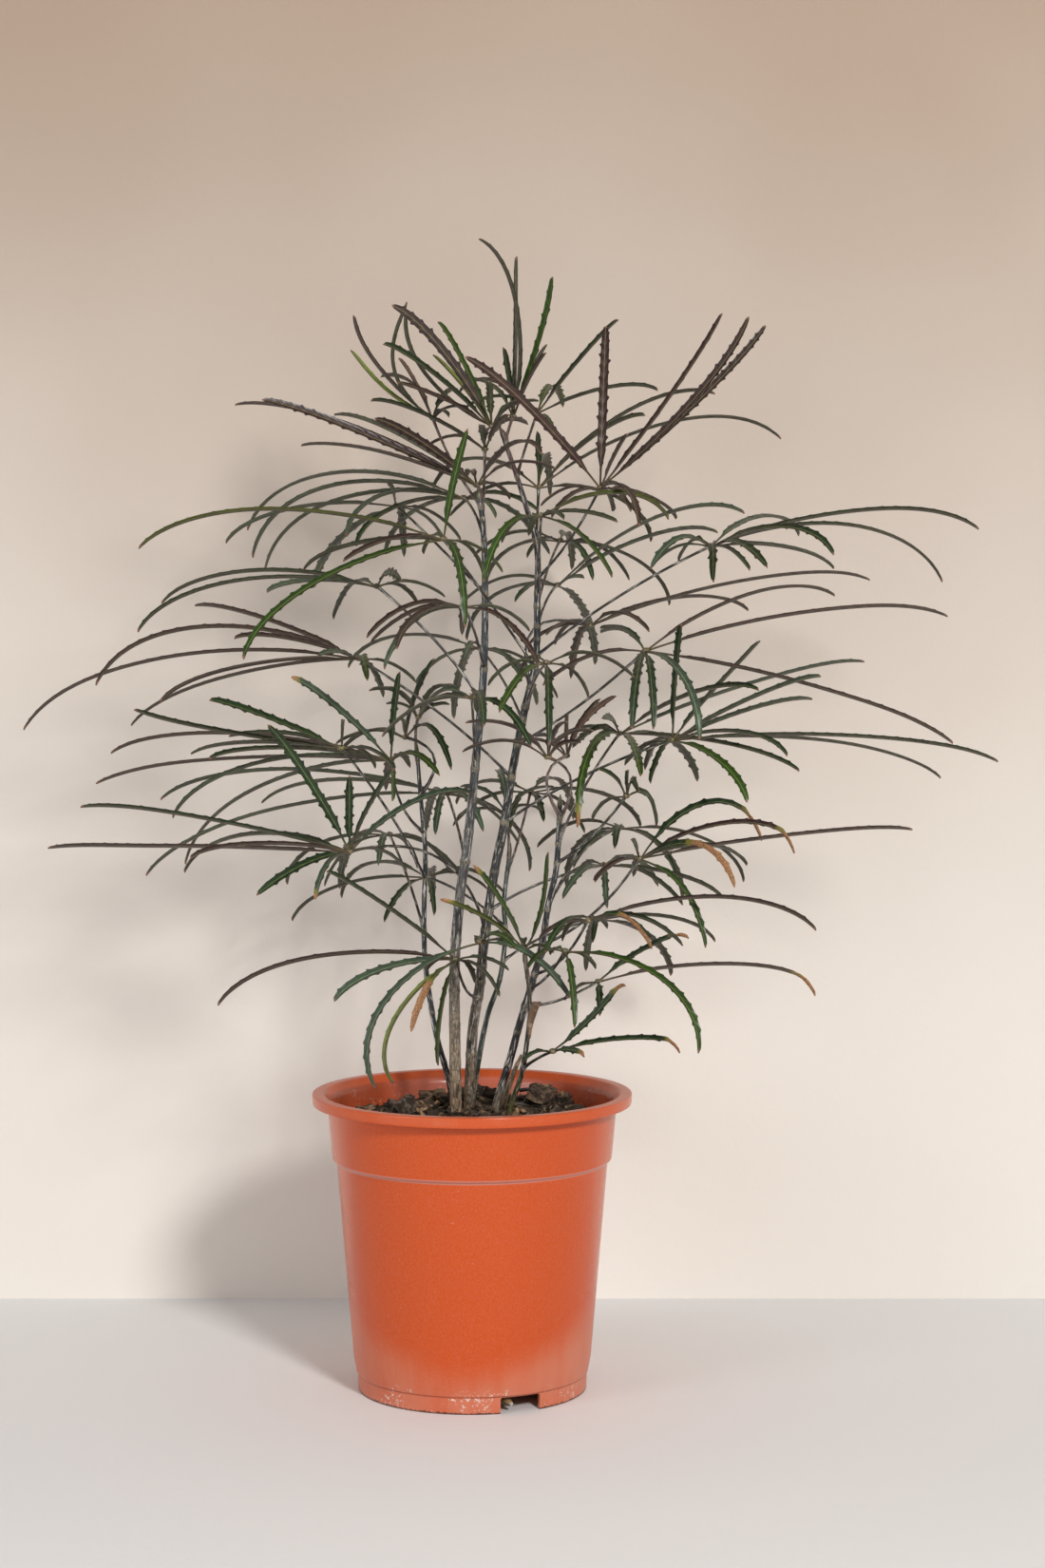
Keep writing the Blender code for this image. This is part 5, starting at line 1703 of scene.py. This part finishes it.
    def build_fibres(self) -> Piece:
        """Root fibres, dead stalks and the root at the drain hole.

        Returns:
            The piece.
        """
        mesh = Growing(SEED + 5)
        self.add_fibres(mesh)
        radii, tones = np.linspace(1.6, 1.0, 22) * MM, [(0.035, 0.028, 0.024, 0.35)] * 22
        for start, end, arch in DEAD_STALKS:
            mesh.rod(arc(at(*start), at(*end), arch * MM, 22), radii, 8, tones, 0.4)
        line = smooth_line(np.array(ROOT) * MM + self.pot.around(self.pot.drain_ring, 0, 1), 6)
        radii = np.interp(np.linspace(0, 5, len(line)), range(6), ROOT_RADII)
        wobble = np.array([1.0 + 0.18 * noise.noise(Vector(point) * 300) for point in line])
        # The root's yellow-brown is painted lighter than its own colour, painted light against the
        # notch's shade; its tip is white.
        tones = [(0.46, 0.30, 0.13, 0.2)] * (len(line) - 1) + [(0.85, 0.80, 0.72, 0.0)]
        mesh.rod(line, radii * wobble * MM, 10, tones, 0.7)
        return self.piece("soil_fibres", mesh.bm, 60)

    def build(self) -> list[Piece]:
        """Makes and dresses every piece of the soil.

        Returns:
            The pieces.
        """
        light = (0.075, 0.046, 0.027)
        looks = (
            CrumbledFinish("bark_mix", (0.008, 0.006, 0.005), light, 260, 0.9, 1.4 * MM),
            CrumbledFinish("bark_chip", (0.040, 0.028, 0.020), None, 150, 1.0, 0.7 * MM),
            CrumbledFinish("bark_crumb", (0.018, 0.013, 0.010), None, 90, 1.0, 0.4 * MM),
            BarkFinish("root_fibre", (0.38, 0.28, 0.18)),
        )
        pieces = (self.build_bed(), self.build_chips(), self.build_crumbs(), self.build_fibres())
        for piece, look in zip(pieces, looks):
            self.settle(piece, "soil", "bark_soil", look.material(self.effects))
        return list(pieces)


@dataclass
class LeafletForm:
    """How a leaflet is shaped: teeth, thickness and channel."""

    tooth_pitch: float = 9.4 * MM
    tooth_depth: float = 0.27
    rows: Point = (0.02, 0.60, 0.90)
    hook: float = 0.25
    foot_length: float = 8.0 * MM
    foot_width: float = 0.75 * MM
    tip_width: float = 0.3 * MM
    rim_thickness: float = 0.55 * MM
    rib_thickness: float = 1.2 * MM
    channel: float = 0.42
    blunt: float = 2.4 * MM
    droops_from: float = 90 * MM
    steps: int = 121

    def envelope(self, along: float, foot: float) -> float:
        """The leaflet's half width as a share of the full one, from its foot to its tip.

        Args:
            along: share of the length.
            foot: share that the narrow foot takes.

        Returns:
            The share of the full half width.
        """
        rise = np.clip((along - foot) / 0.17, 0.0, 1.0)
        fall = np.clip((along - 0.60) / 0.40, 0.0, 1.0)
        return float((rise * rise * (3 - 2 * rise)) * (1.0 - 0.62 * fall**4))

    def late_arc(self, blade: Blade, share: np.ndarray) -> np.ndarray:
        """The blade's path where most of its droop comes near the tip.

        Args:
            blade: the leaflet's place.
            share: shares of the length, one row each.

        Returns:
            The points, one row each.
        """
        chord = blade.end - blade.start
        rise = unit(UP - unit(chord) * unit(chord)[2]) * blade.arch
        one = blade.start + 0.30 * chord + 1.05 * rise
        two = blade.start + 0.86 * chord + 1.75 * rise
        left = 1 - share
        bent = 3 * share * left**2 * one + 3 * share**2 * left * two
        return left**3 * blade.start + bent + share**3 * blade.end

    def face_turn(self, side: np.ndarray, normal: np.ndarray, shown: float) -> float:
        """The turn that shows a share of the upper face to the front, whichever way is less.

        Args:
            side: the level direction across the blade.
            normal: the direction off its upper face.
            shown: the share of its width that is to be seen.

        Returns:
            The turn about the blade's length, in radians.
        """
        lean, spread = math.atan2(side[1], normal[1]), math.pi - math.acos(min(1.0, shown))
        turns = [math.remainder(sign * spread - lean, FULL_TURN) for sign in (-1, 1)]
        return min(turns, key=abs)

    def course(self, blade: Blade, draw: random.Random) -> np.ndarray:
        """The blade's path with its small wander and the curl of a dried end.

        Args:
            blade: the leaflet's place.
            draw: source of chance.

        Returns:
            In each row a point, the direction across and the direction off the upper face.
        """
        share = np.linspace(0.0, 1.0, self.steps)[:, None]
        side, length = blade.width_direction(), blade.length()
        path = blade.path(self.steps)
        if length > self.droops_from:
            path = 0.2 * path + 0.8 * self.late_arc(blade, share)
        sway = draw.uniform(-0.010, 0.010) * length
        sway = sway * np.sin(math.pi * 1.6 * share + draw.uniform(0, 3)) * share
        ripple = draw.uniform(0.1, 0.4) * MM
        ripple = ripple * np.sin(share * length / (17 * MM) + draw.uniform(0, 6)) * share
        path = path + side * sway + UP * ripple
        dry_from = LETTERS[blade.letter][1]
        if 0.3 < dry_from < 0.9:
            reach = np.clip((share - dry_from) / (1.0 - dry_from), 0.0, 1.0)
            fall = -UP + side * draw.uniform(-0.3, 0.3)
            path = path + fall * reach**1.5 * min(0.07 * length, 8 * MM)
        normals = rows_of_one(np.cross(side, rows_of_one(np.gradient(path, axis=0))))
        along = share[:, 0]
        if blade.shown:
            middle = normals[self.steps // 2]
            turn = self.face_turn(side, middle, blade.shown) * (0.80 + 0.20 * along)
            turn = turn + math.radians(draw.uniform(-4, 4))
        else:
            twist = draw.choice((-1, 1)) * draw.uniform(4, 20)
            turn = np.radians(blade.turn * (0.6 + 0.4 * along) + twist * (0.3 + 0.7 * along))
        curled = np.clip((along - dry_from + 0.05) / 0.15, 0.0, 1.0)
        turn = (turn + math.radians(40.0) * curled)[:, None]
        sides = side * np.cos(turn) + normals * np.sin(turn)
        return np.hstack((path, sides, normals * np.cos(turn) - side * np.sin(turn)))

    def add(self, mesh: Growing, blade: Blade) -> None:
        """Adds one leaflet: a flat grid whose edge rows are drawn out to hooked teeth, thickened.

        Args:
            mesh: the mesh that it is added to.
            blade: the leaflet's place.
        """
        draw, length = mesh.draw, blade.length()
        half = blade.half_width() * draw.uniform(0.96, 1.12)
        half *= float(np.interp(length, (0.1, 0.2), (1.0, 0.86)))
        foot = min(0.16, self.foot_length / length)
        teeth = max(3, round(length * (1 - foot) / self.tooth_pitch))
        last = 1.0 - self.blunt / length
        pitch = (last - foot) / teeth
        toothed = [foot + pitch * (tooth + step) for tooth in range(teeth) for step in self.rows]
        spots = [0.0, foot * 0.6, *toothed, last, 1.0]
        course, fine = self.course(blade, draw), np.linspace(0.0, 1.0, self.steps)
        tone, dry_from = LETTERS[blade.letter]
        shade = draw.uniform(0.82, 1.22)
        colour = (*(channel * shade for channel in tone.value), 1.0)
        chance = draw.random()
        size = {"x_segments": 2, "y_segments": len(spots) - 1, "size": 1.0}
        grid = bmesh.ops.create_grid(mesh.bm, **size)["verts"]
        for index, vert in enumerate(grid):
            row, column = divmod(index, 3)
            share, reach = spots[row], 0.0
            if column != 1:
                is_toothed = 2 <= row < len(spots) - 4
                if is_toothed:
                    share += self.hook * pitch * (column - 1)
                width = half * self.envelope(share, foot)
                full = draw.uniform(0.90, 1.16) if draw.random() < 0.86 else 0.80
                if not is_toothed or (row - 2) % 3 != 2:
                    full = 1.0 - self.tooth_depth
                reach = max(self.foot_width, width * full)
                if row == len(spots) - 1:
                    reach = self.tip_width
            share = min(share, 1.0)
            here = between(share, fine, course)
            lift = self.channel * half * (min(1.0, reach / (0.6 * half)) - 0.35)
            vert.co = Vector(here[:3] + here[3:6] * reach * (column - 1) + here[6:] * lift)
            growth = (share, spots[row] * length / self.tooth_pitch, chance, dry_from)
            mesh.mark(vert, colour, growth, (0.0, 0.0, 0.0))
        self.thicken(mesh, grid, between(spots, fine, course[:, 6:]))

    def thicken(self, mesh: Growing, grid: list[bmesh.types.BMVert], normals: np.ndarray) -> None:
        """Lays out the grid's values and draws it out, so that it ends as the underside.

        Args:
            mesh: the mesh that it belongs to.
            grid: its points.
            normals: the direction off the upper face, for each row.
        """
        columns = {vert: index % 3 for index, vert in enumerate(grid)}
        faces = list({face for vert in grid for face in vert.link_faces})
        for loop in chain(*(face.loops for face in faces)):
            loop[mesh.across].uv = (columns[loop.vert] / 2, loop.vert[mesh.growth][0])
        places = {tuple(round(one, 7) for one in vert.co): row for row, vert in enumerate(grid)}
        made = bmesh.ops.extrude_face_region(mesh.bm, geom=faces)["geom"]
        raised = [part for part in made if isinstance(part, bmesh.types.BMVert)]
        tops = {part for part in made if isinstance(part, bmesh.types.BMFace)}
        for vert in raised:
            index = places[tuple(round(one, 7) for one in vert.co)]
            row, column = divmod(index, 3)
            thick = self.rib_thickness if column == 1 else self.rim_thickness
            vert.co += Vector(normals[row] * thick * 0.5)
            grid[index].co -= Vector(normals[row] * thick * 0.5)
        for face in {face for vert in (*grid, *raised) for face in vert.link_faces} - tops:
            face.material_index = 1
        for edge in chain(*(face.edges for face in tops)):
            if len(edge.link_faces) == 2 and not set(edge.link_faces) <= tops:
                edge.smooth = False


@dataclass
class LeafyStem(SubAssembly):
    """One stem with its stalks, knots and leaflets."""

    stem: Stem
    leaves: list[GrownLeaf]
    # The bark, the upper face and the underside
    looks: Sequence[bpy.types.Material]
    stem_sides: int = 14
    stalk_sides: int = 8
    stalk_radius: float = 1.15 * MM
    hub_radius: float = 2.9 * MM
    first_scar: float = 0.225
    ring_gap: float = 31.0 * MM

    def add_stem(self, mesh: Growing) -> None:
        """The stem itself with a raised ring at each old leaf and a bud at its tip.

        Args:
            mesh: the mesh that it is added to.
        """
        line = self.stem.line(20)
        heights, radii = line[:, 2], self.stem.radius(line[:, 2])
        feet, scars = [leaf.start[2] for leaf in self.leaves], []
        z = self.first_scar
        while z < heights[-1] - 60 * MM:
            scars.append(z)
            z += self.ring_gap * mesh.draw.uniform(0.6, 1.3)
        swell = np.ones(len(line))
        for rings, height in ((feet, 0.17), (scars, 0.10)):
            for ring in rings:
                swell += height * np.exp(-(((heights - ring) / (1.5 * MM)) ** 2))
        wobble = np.array([1.0 + 0.05 * noise.noise(Vector(point) * 120) for point in line])
        tones, pale = [self.stem.bark_at(z) for z in heights], (0.34, 0.29, 0.20, 0.2)
        for index, z in enumerate(heights):
            for rings, reach, share in ((scars, 1.0 * MM, 0.45), (feet, 1.7 * MM, 0.7)):
                if any(abs(z - ring) < reach for ring in rings):
                    pairs = zip(tones[index], pale)
                    tones[index] = tuple((1 - share) * one + share * other for one, other in pairs)
        way = unit(line[-1] - line[-2])
        bud = np.array([line[-1] + way * step * MM for step in (2.0, 4.5, 7.5, 10.0)])
        tip = self.stem.tip_radius * MM
        radii = [*(radii * swell * wobble), 1.15 * tip, tip, 0.6 * tip, 0.12 * tip]
        tones += [(0.14, 0.13, 0.06, 0.3)] * 4
        mesh.rod(np.vstack((line, bud)), radii, self.stem_sides, tones, mesh.draw.uniform(0, 9))

    def stalk_tone(self, share: float, young: float) -> RGBA:
        """A stalk's colour: purple-brown, paler and greener near its knot, pink on a young shoot.

        Args:
            share: share of the stalk's length from its foot.
            young: how young it is, from 0 to 1.

        Returns:
            The colour and the share of pale streaks.
        """
        plain = np.array((0.045, 0.034, 0.036, 0.55)) * (1 - share)
        plain += np.array((0.060, 0.058, 0.038, 0.5)) * share
        return tuple(plain * (1 - young) + np.array((0.21, 0.125, 0.11, 0.4)) * young)

    def add_stalk(self, mesh: Growing, leaf: GrownLeaf) -> None:
        """A stalk with its sheathed foot, and the knot at its end.

        Args:
            mesh: the mesh that it is added to.
            leaf: the grown leaf.
        """
        below_tip = self.stem.points[-1][2] * MM - leaf.start[2]
        young = float(np.clip((34 * MM - below_tip) / (30 * MM), 0.0, 1.0))
        length = float(np.linalg.norm(leaf.hub - leaf.start))
        steps = max(8, int(length / (7 * MM)))
        spots = np.linspace(0, STALK_POINTS - 1, steps)
        line, run = between(spots, range(STALK_POINTS), leaf.stalk), np.linspace(0.0, 1.0, steps)
        sheath, neck = np.exp(-run * length / (6 * MM)), np.exp(-(1 - run) * length / (4 * MM))
        radii = self.stalk_radius * (0.92 + 0.85 * sheath + 0.35 * neck)
        tones = [self.stalk_tone(float(share), 0.8 * young) for share in run]
        draw, pale = mesh.draw, (0.27, 0.215, 0.105, 0.25)
        mesh.rod(line, radii, self.stalk_sides, tones, draw.uniform(0, 9))
        place = Matrix.Translation(Vector(leaf.hub)) @ Matrix.Diagonal((1.0, 1.0, 0.72, 1.0))
        ball = {"subdivisions": 2, "radius": self.hub_radius, "matrix": place}
        for vert in bmesh.ops.create_icosphere(mesh.bm, **ball)["verts"]:
            vert.co += noise.noise_vector(Vector(vert.co) * 420) * 0.75 * MM
            tone = tuple(value * draw.uniform(0.65, 1.1) for value in pale)
            mesh.mark(vert, tone, (0.0, 0.0, 0.5, 1.3), tuple(vert.co))

    def build(self) -> list[Piece]:
        """Makes and dresses both pieces of the stem.

        Returns:
            The pieces.
        """
        name, form = self.stem.name, LeafletForm()
        wood, leaflets = Growing(f"{name} wood"), Growing(f"{name} leaflets")
        self.add_stem(wood)
        for leaf in self.leaves:
            self.add_stalk(wood, leaf)
            for blade in leaf.blades:
                form.add(leaflets, blade)
        for face in leaflets.bm.faces:
            face.smooth = True
        bark, *faces = self.looks
        made = self.piece(f"{name}_wood", wood.bm, 60)
        pieces = (made, self.piece(f"{name}_leaflets", leaflets.bm))
        for piece, looks in zip(pieces, ((bark,), faces)):
            self.settle(piece, name, f"{name}_growth", *looks)
        return list(pieces)


@dataclass
class DeadStub(SubAssembly):
    """The short dry stem between two living ones, with a torn end."""

    sides: int = 12
    buried: float = 22 * MM
    torn: float = 6 * MM

    def build(self) -> list[Piece]:
        """Makes and dresses the stub.

        Returns:
            The piece.
        """
        line = np.array([at(*point) for point in STUB_POINTS])
        line = smooth_line(np.vstack((line[0] + (0, 0, -self.buried), line)), 8)
        heights = [point[2] * MM for point in STUB_POINTS]
        radii = np.interp(line[:, 2], heights, np.array(STUB_RADII) * MM)
        radii[-1] *= 0.55
        mesh = Growing()
        mesh.rod(line, radii, self.sides, [(0.36, 0.23, 0.125, 0.5)] * len(line), 0.2)
        for vert in mesh.bm.verts:
            if vert.co.z > line[-2][2]:
                vert.co.z -= abs(noise.noise(Vector(vert.co) * 900)) * self.torn
        look = BarkFinish("dry_wood", (0.55, 0.42, 0.28)).material(self.effects)
        stub = self.piece("stub_wood", mesh.bm, 50)
        return [self.settle(stub, "dead_stub", "dry_wood", look)]


@dataclass
class DrySheath(SubAssembly):
    """The papery husk that hangs on the side stem."""

    foot: Point = (43, -31, 265)
    tip: Point = (49, -33, 294)
    half_width: float = 3.9 * MM
    thickness: float = 0.3 * MM

    def build(self) -> list[Piece]:
        """Makes and dresses the husk.

        Returns:
            The piece.
        """
        path = arc(at(*self.foot), at(*self.tip), 1.5 * MM, 9)
        bm = bmesh.new()
        grid = bmesh.ops.create_grid(bm, x_segments=4, y_segments=8, size=1.0)["verts"]
        for index, vert in enumerate(grid):
            row, column = divmod(index, 5)
            width = self.half_width * (0.22 + 0.78 * (row / 8) ** 0.8)
            out = (column - 2) / 2
            ragged = 0.8 * MM * noise.noise(Vector((row * 1.7, column * 2.1, 4.0)))
            hollow = -0.6 * width * (1 - out * out)
            offset = Vector((out * width + ragged, hollow + ragged, 0.5 * ragged))
            vert.co = Vector(path[row]) + offset
        husk = self.piece("dry_sheath", bm, 60)
        wall = husk.modifiers.new("Thickness", "SOLIDIFY")
        wall.thickness, wall.offset = self.thickness, 0.0
        rounder = husk.modifiers.new("Smoothing", "SUBSURF")
        rounder.levels = rounder.render_levels = 1
        paper = ((0.16, 0.10, 0.065), (0.42, 0.30, 0.21), 120.0, 0.9, 0.25 * MM)
        look = CrumbledFinish("dry_husk", *paper).material(self.effects)
        return [self.settle(husk, "side_stem", "side_stem_growth", look)]


@dataclass
class Studio:
    """The floor, the wall, the lights and the camera."""

    axis: Sequence[float]
    effects: Effects
    floor_size: tuple[float, float] = (9.0, 9.0)
    wall_size: tuple[float, float] = (9.0, 4.0)
    wall_place: Point = (0.0, 0.256, 1.9)
    lens: float = 74.2
    film: float = 36.0
    eye: Point = (EYE_ACROSS * MM, -EYE_BACK * MM, EYE_UP * MM)
    pitch: float = math.radians(-3.6)
    aim: Point = (0.0, 0.0, 0.42)
    sky: RGBA = (0.96, 0.95, 0.93, 1.0)
    sky_power: float = 0.34

    def sheet(
        self, name: str, size: tuple[float, float], place: Matrix, paint: StagePaint
    ) -> None:
        """Adds one flat sheet of the stage.

        Args:
            name: the sheet's name.
            size: its length and width.
            place: where it goes.
            paint: its paint.
        """
        bm = bmesh.new()
        bmesh.ops.create_grid(bm, x_segments=8, y_segments=8, size=0.5)
        bmesh.ops.scale(bm, vec=(*size, 1.0), verts=bm.verts)
        bmesh.ops.transform(bm, matrix=place, verts=bm.verts)
        sheet = new_piece(name, bm)
        sheet.data.materials.append(paint.material(self.effects))
        sheet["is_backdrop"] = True

    def lamp(self, name: str, spot: Point, size: float, power: float, colour: RGB) -> None:
        """Adds one soft lamp that faces the plant.

        Args:
            name: the lamp's name.
            spot: where it hangs.
            size: how wide it is.
            power: its strength in watts.
            colour: the colour of its light.
        """
        light = bpy.data.lights.new(name, "AREA")
        light.shape, light.size, light.energy, light.color = "DISK", size, power, colour
        lamp = bpy.data.objects.new(name, light)
        aim = Vector(self.aim) - Vector(spot)
        lamp.location, lamp.rotation_euler = spot, aim.to_track_quat("-Z", "Y").to_euler()
        bpy.context.scene.collection.objects.link(lamp)

    def build(self) -> None:
        """Sets up the whole stage."""
        white = (0.83, 0.825, 0.825)
        floor = StagePaint("floor_paint", white, white)
        # The wall is painted lighter low down and darker high up: painted light and painted shade.
        wall = StagePaint("wall_paint_painted_falloff", (0.86, 0.815, 0.755), (0.40, 0.295, 0.22), True)
        self.sheet("studio_floor", self.floor_size, Matrix.Identity(4), floor)
        upright = Matrix.Translation(self.wall_place) @ Matrix.Rotation(math.radians(90), 4, "X")
        self.sheet("studio_wall", self.wall_size, upright, wall)
        self.lamp("key_lamp", (1.05, -2.7, 1.65), 0.5, 68.0, (1.0, 0.985, 0.965))
        self.lamp("fill_lamp", (-1.5, -1.3, 0.7), 0.8, 8.0, (0.94, 0.96, 1.0))
        scene, world = bpy.context.scene, bpy.data.worlds.new("soft_air")
        world.use_nodes = True
        air = world.node_tree.nodes["Background"].inputs
        air[0].default_value, air[1].default_value = self.sky, self.sky_power
        camera = bpy.data.cameras.new("camera")
        camera.lens, camera.sensor_width = self.lens, self.film
        viewer = bpy.data.objects.new("camera", camera)
        viewer.location = [spot + way for spot, way in zip(self.axis, self.eye)]
        viewer.rotation_euler = (math.radians(90) + self.pitch, 0.0, 0.0)
        scene.collection.objects.link(viewer)
        scene.world, scene.camera = world, viewer
        scene.view_settings.view_transform = "Standard"


def pot_axis() -> Point:
    """Where the pot's axis stands on the ground."""
    low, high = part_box("pot")
    return (low[0] + high[0]) / 2, (low[1] + high[1]) / 2, 0.0


def main() -> None:
    """Builds the plant in its pot, then the studio, and reports each piece."""
    logging.basicConfig(level=logging.INFO, format="%(message)s")
    noise.seed_set(SEED)
    known = axis, effects = pot_axis(), Effects()
    pot = NurseryPot(*known)
    finishes = (
        BarkFinish("stem_bark", (0.62, 0.60, 0.54)),
        LeafletFinish("leaflet_top", (0.30, 0.31, 0.10), 0.92, 0.28, gloss=0.03),
        LeafletFinish("leaflet_underside", (0.24, 0.19, 0.13), 0.7, 0.1, 0.45, 0.12),
    )
    looks = [finish.material(effects) for finish in finishes]
    stems = [LeafyStem(*known, stem, leaves, looks) for stem, leaves in zip(STEMS, grow(STEMS))]
    for part in (pot, BarkSoil(*known, pot), *stems, DeadStub(*known), DrySheath(*known)):
        for piece in part.build():
            LOG.info("%s: %d faces", piece.name, len(piece.data.polygons))
    Studio(axis, effects).build()
    LOG.info("studio")
    boxes = [[list(corner) for corner in box] for box in (CAD_BOX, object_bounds())]


if __name__ == "__main__":
    main()
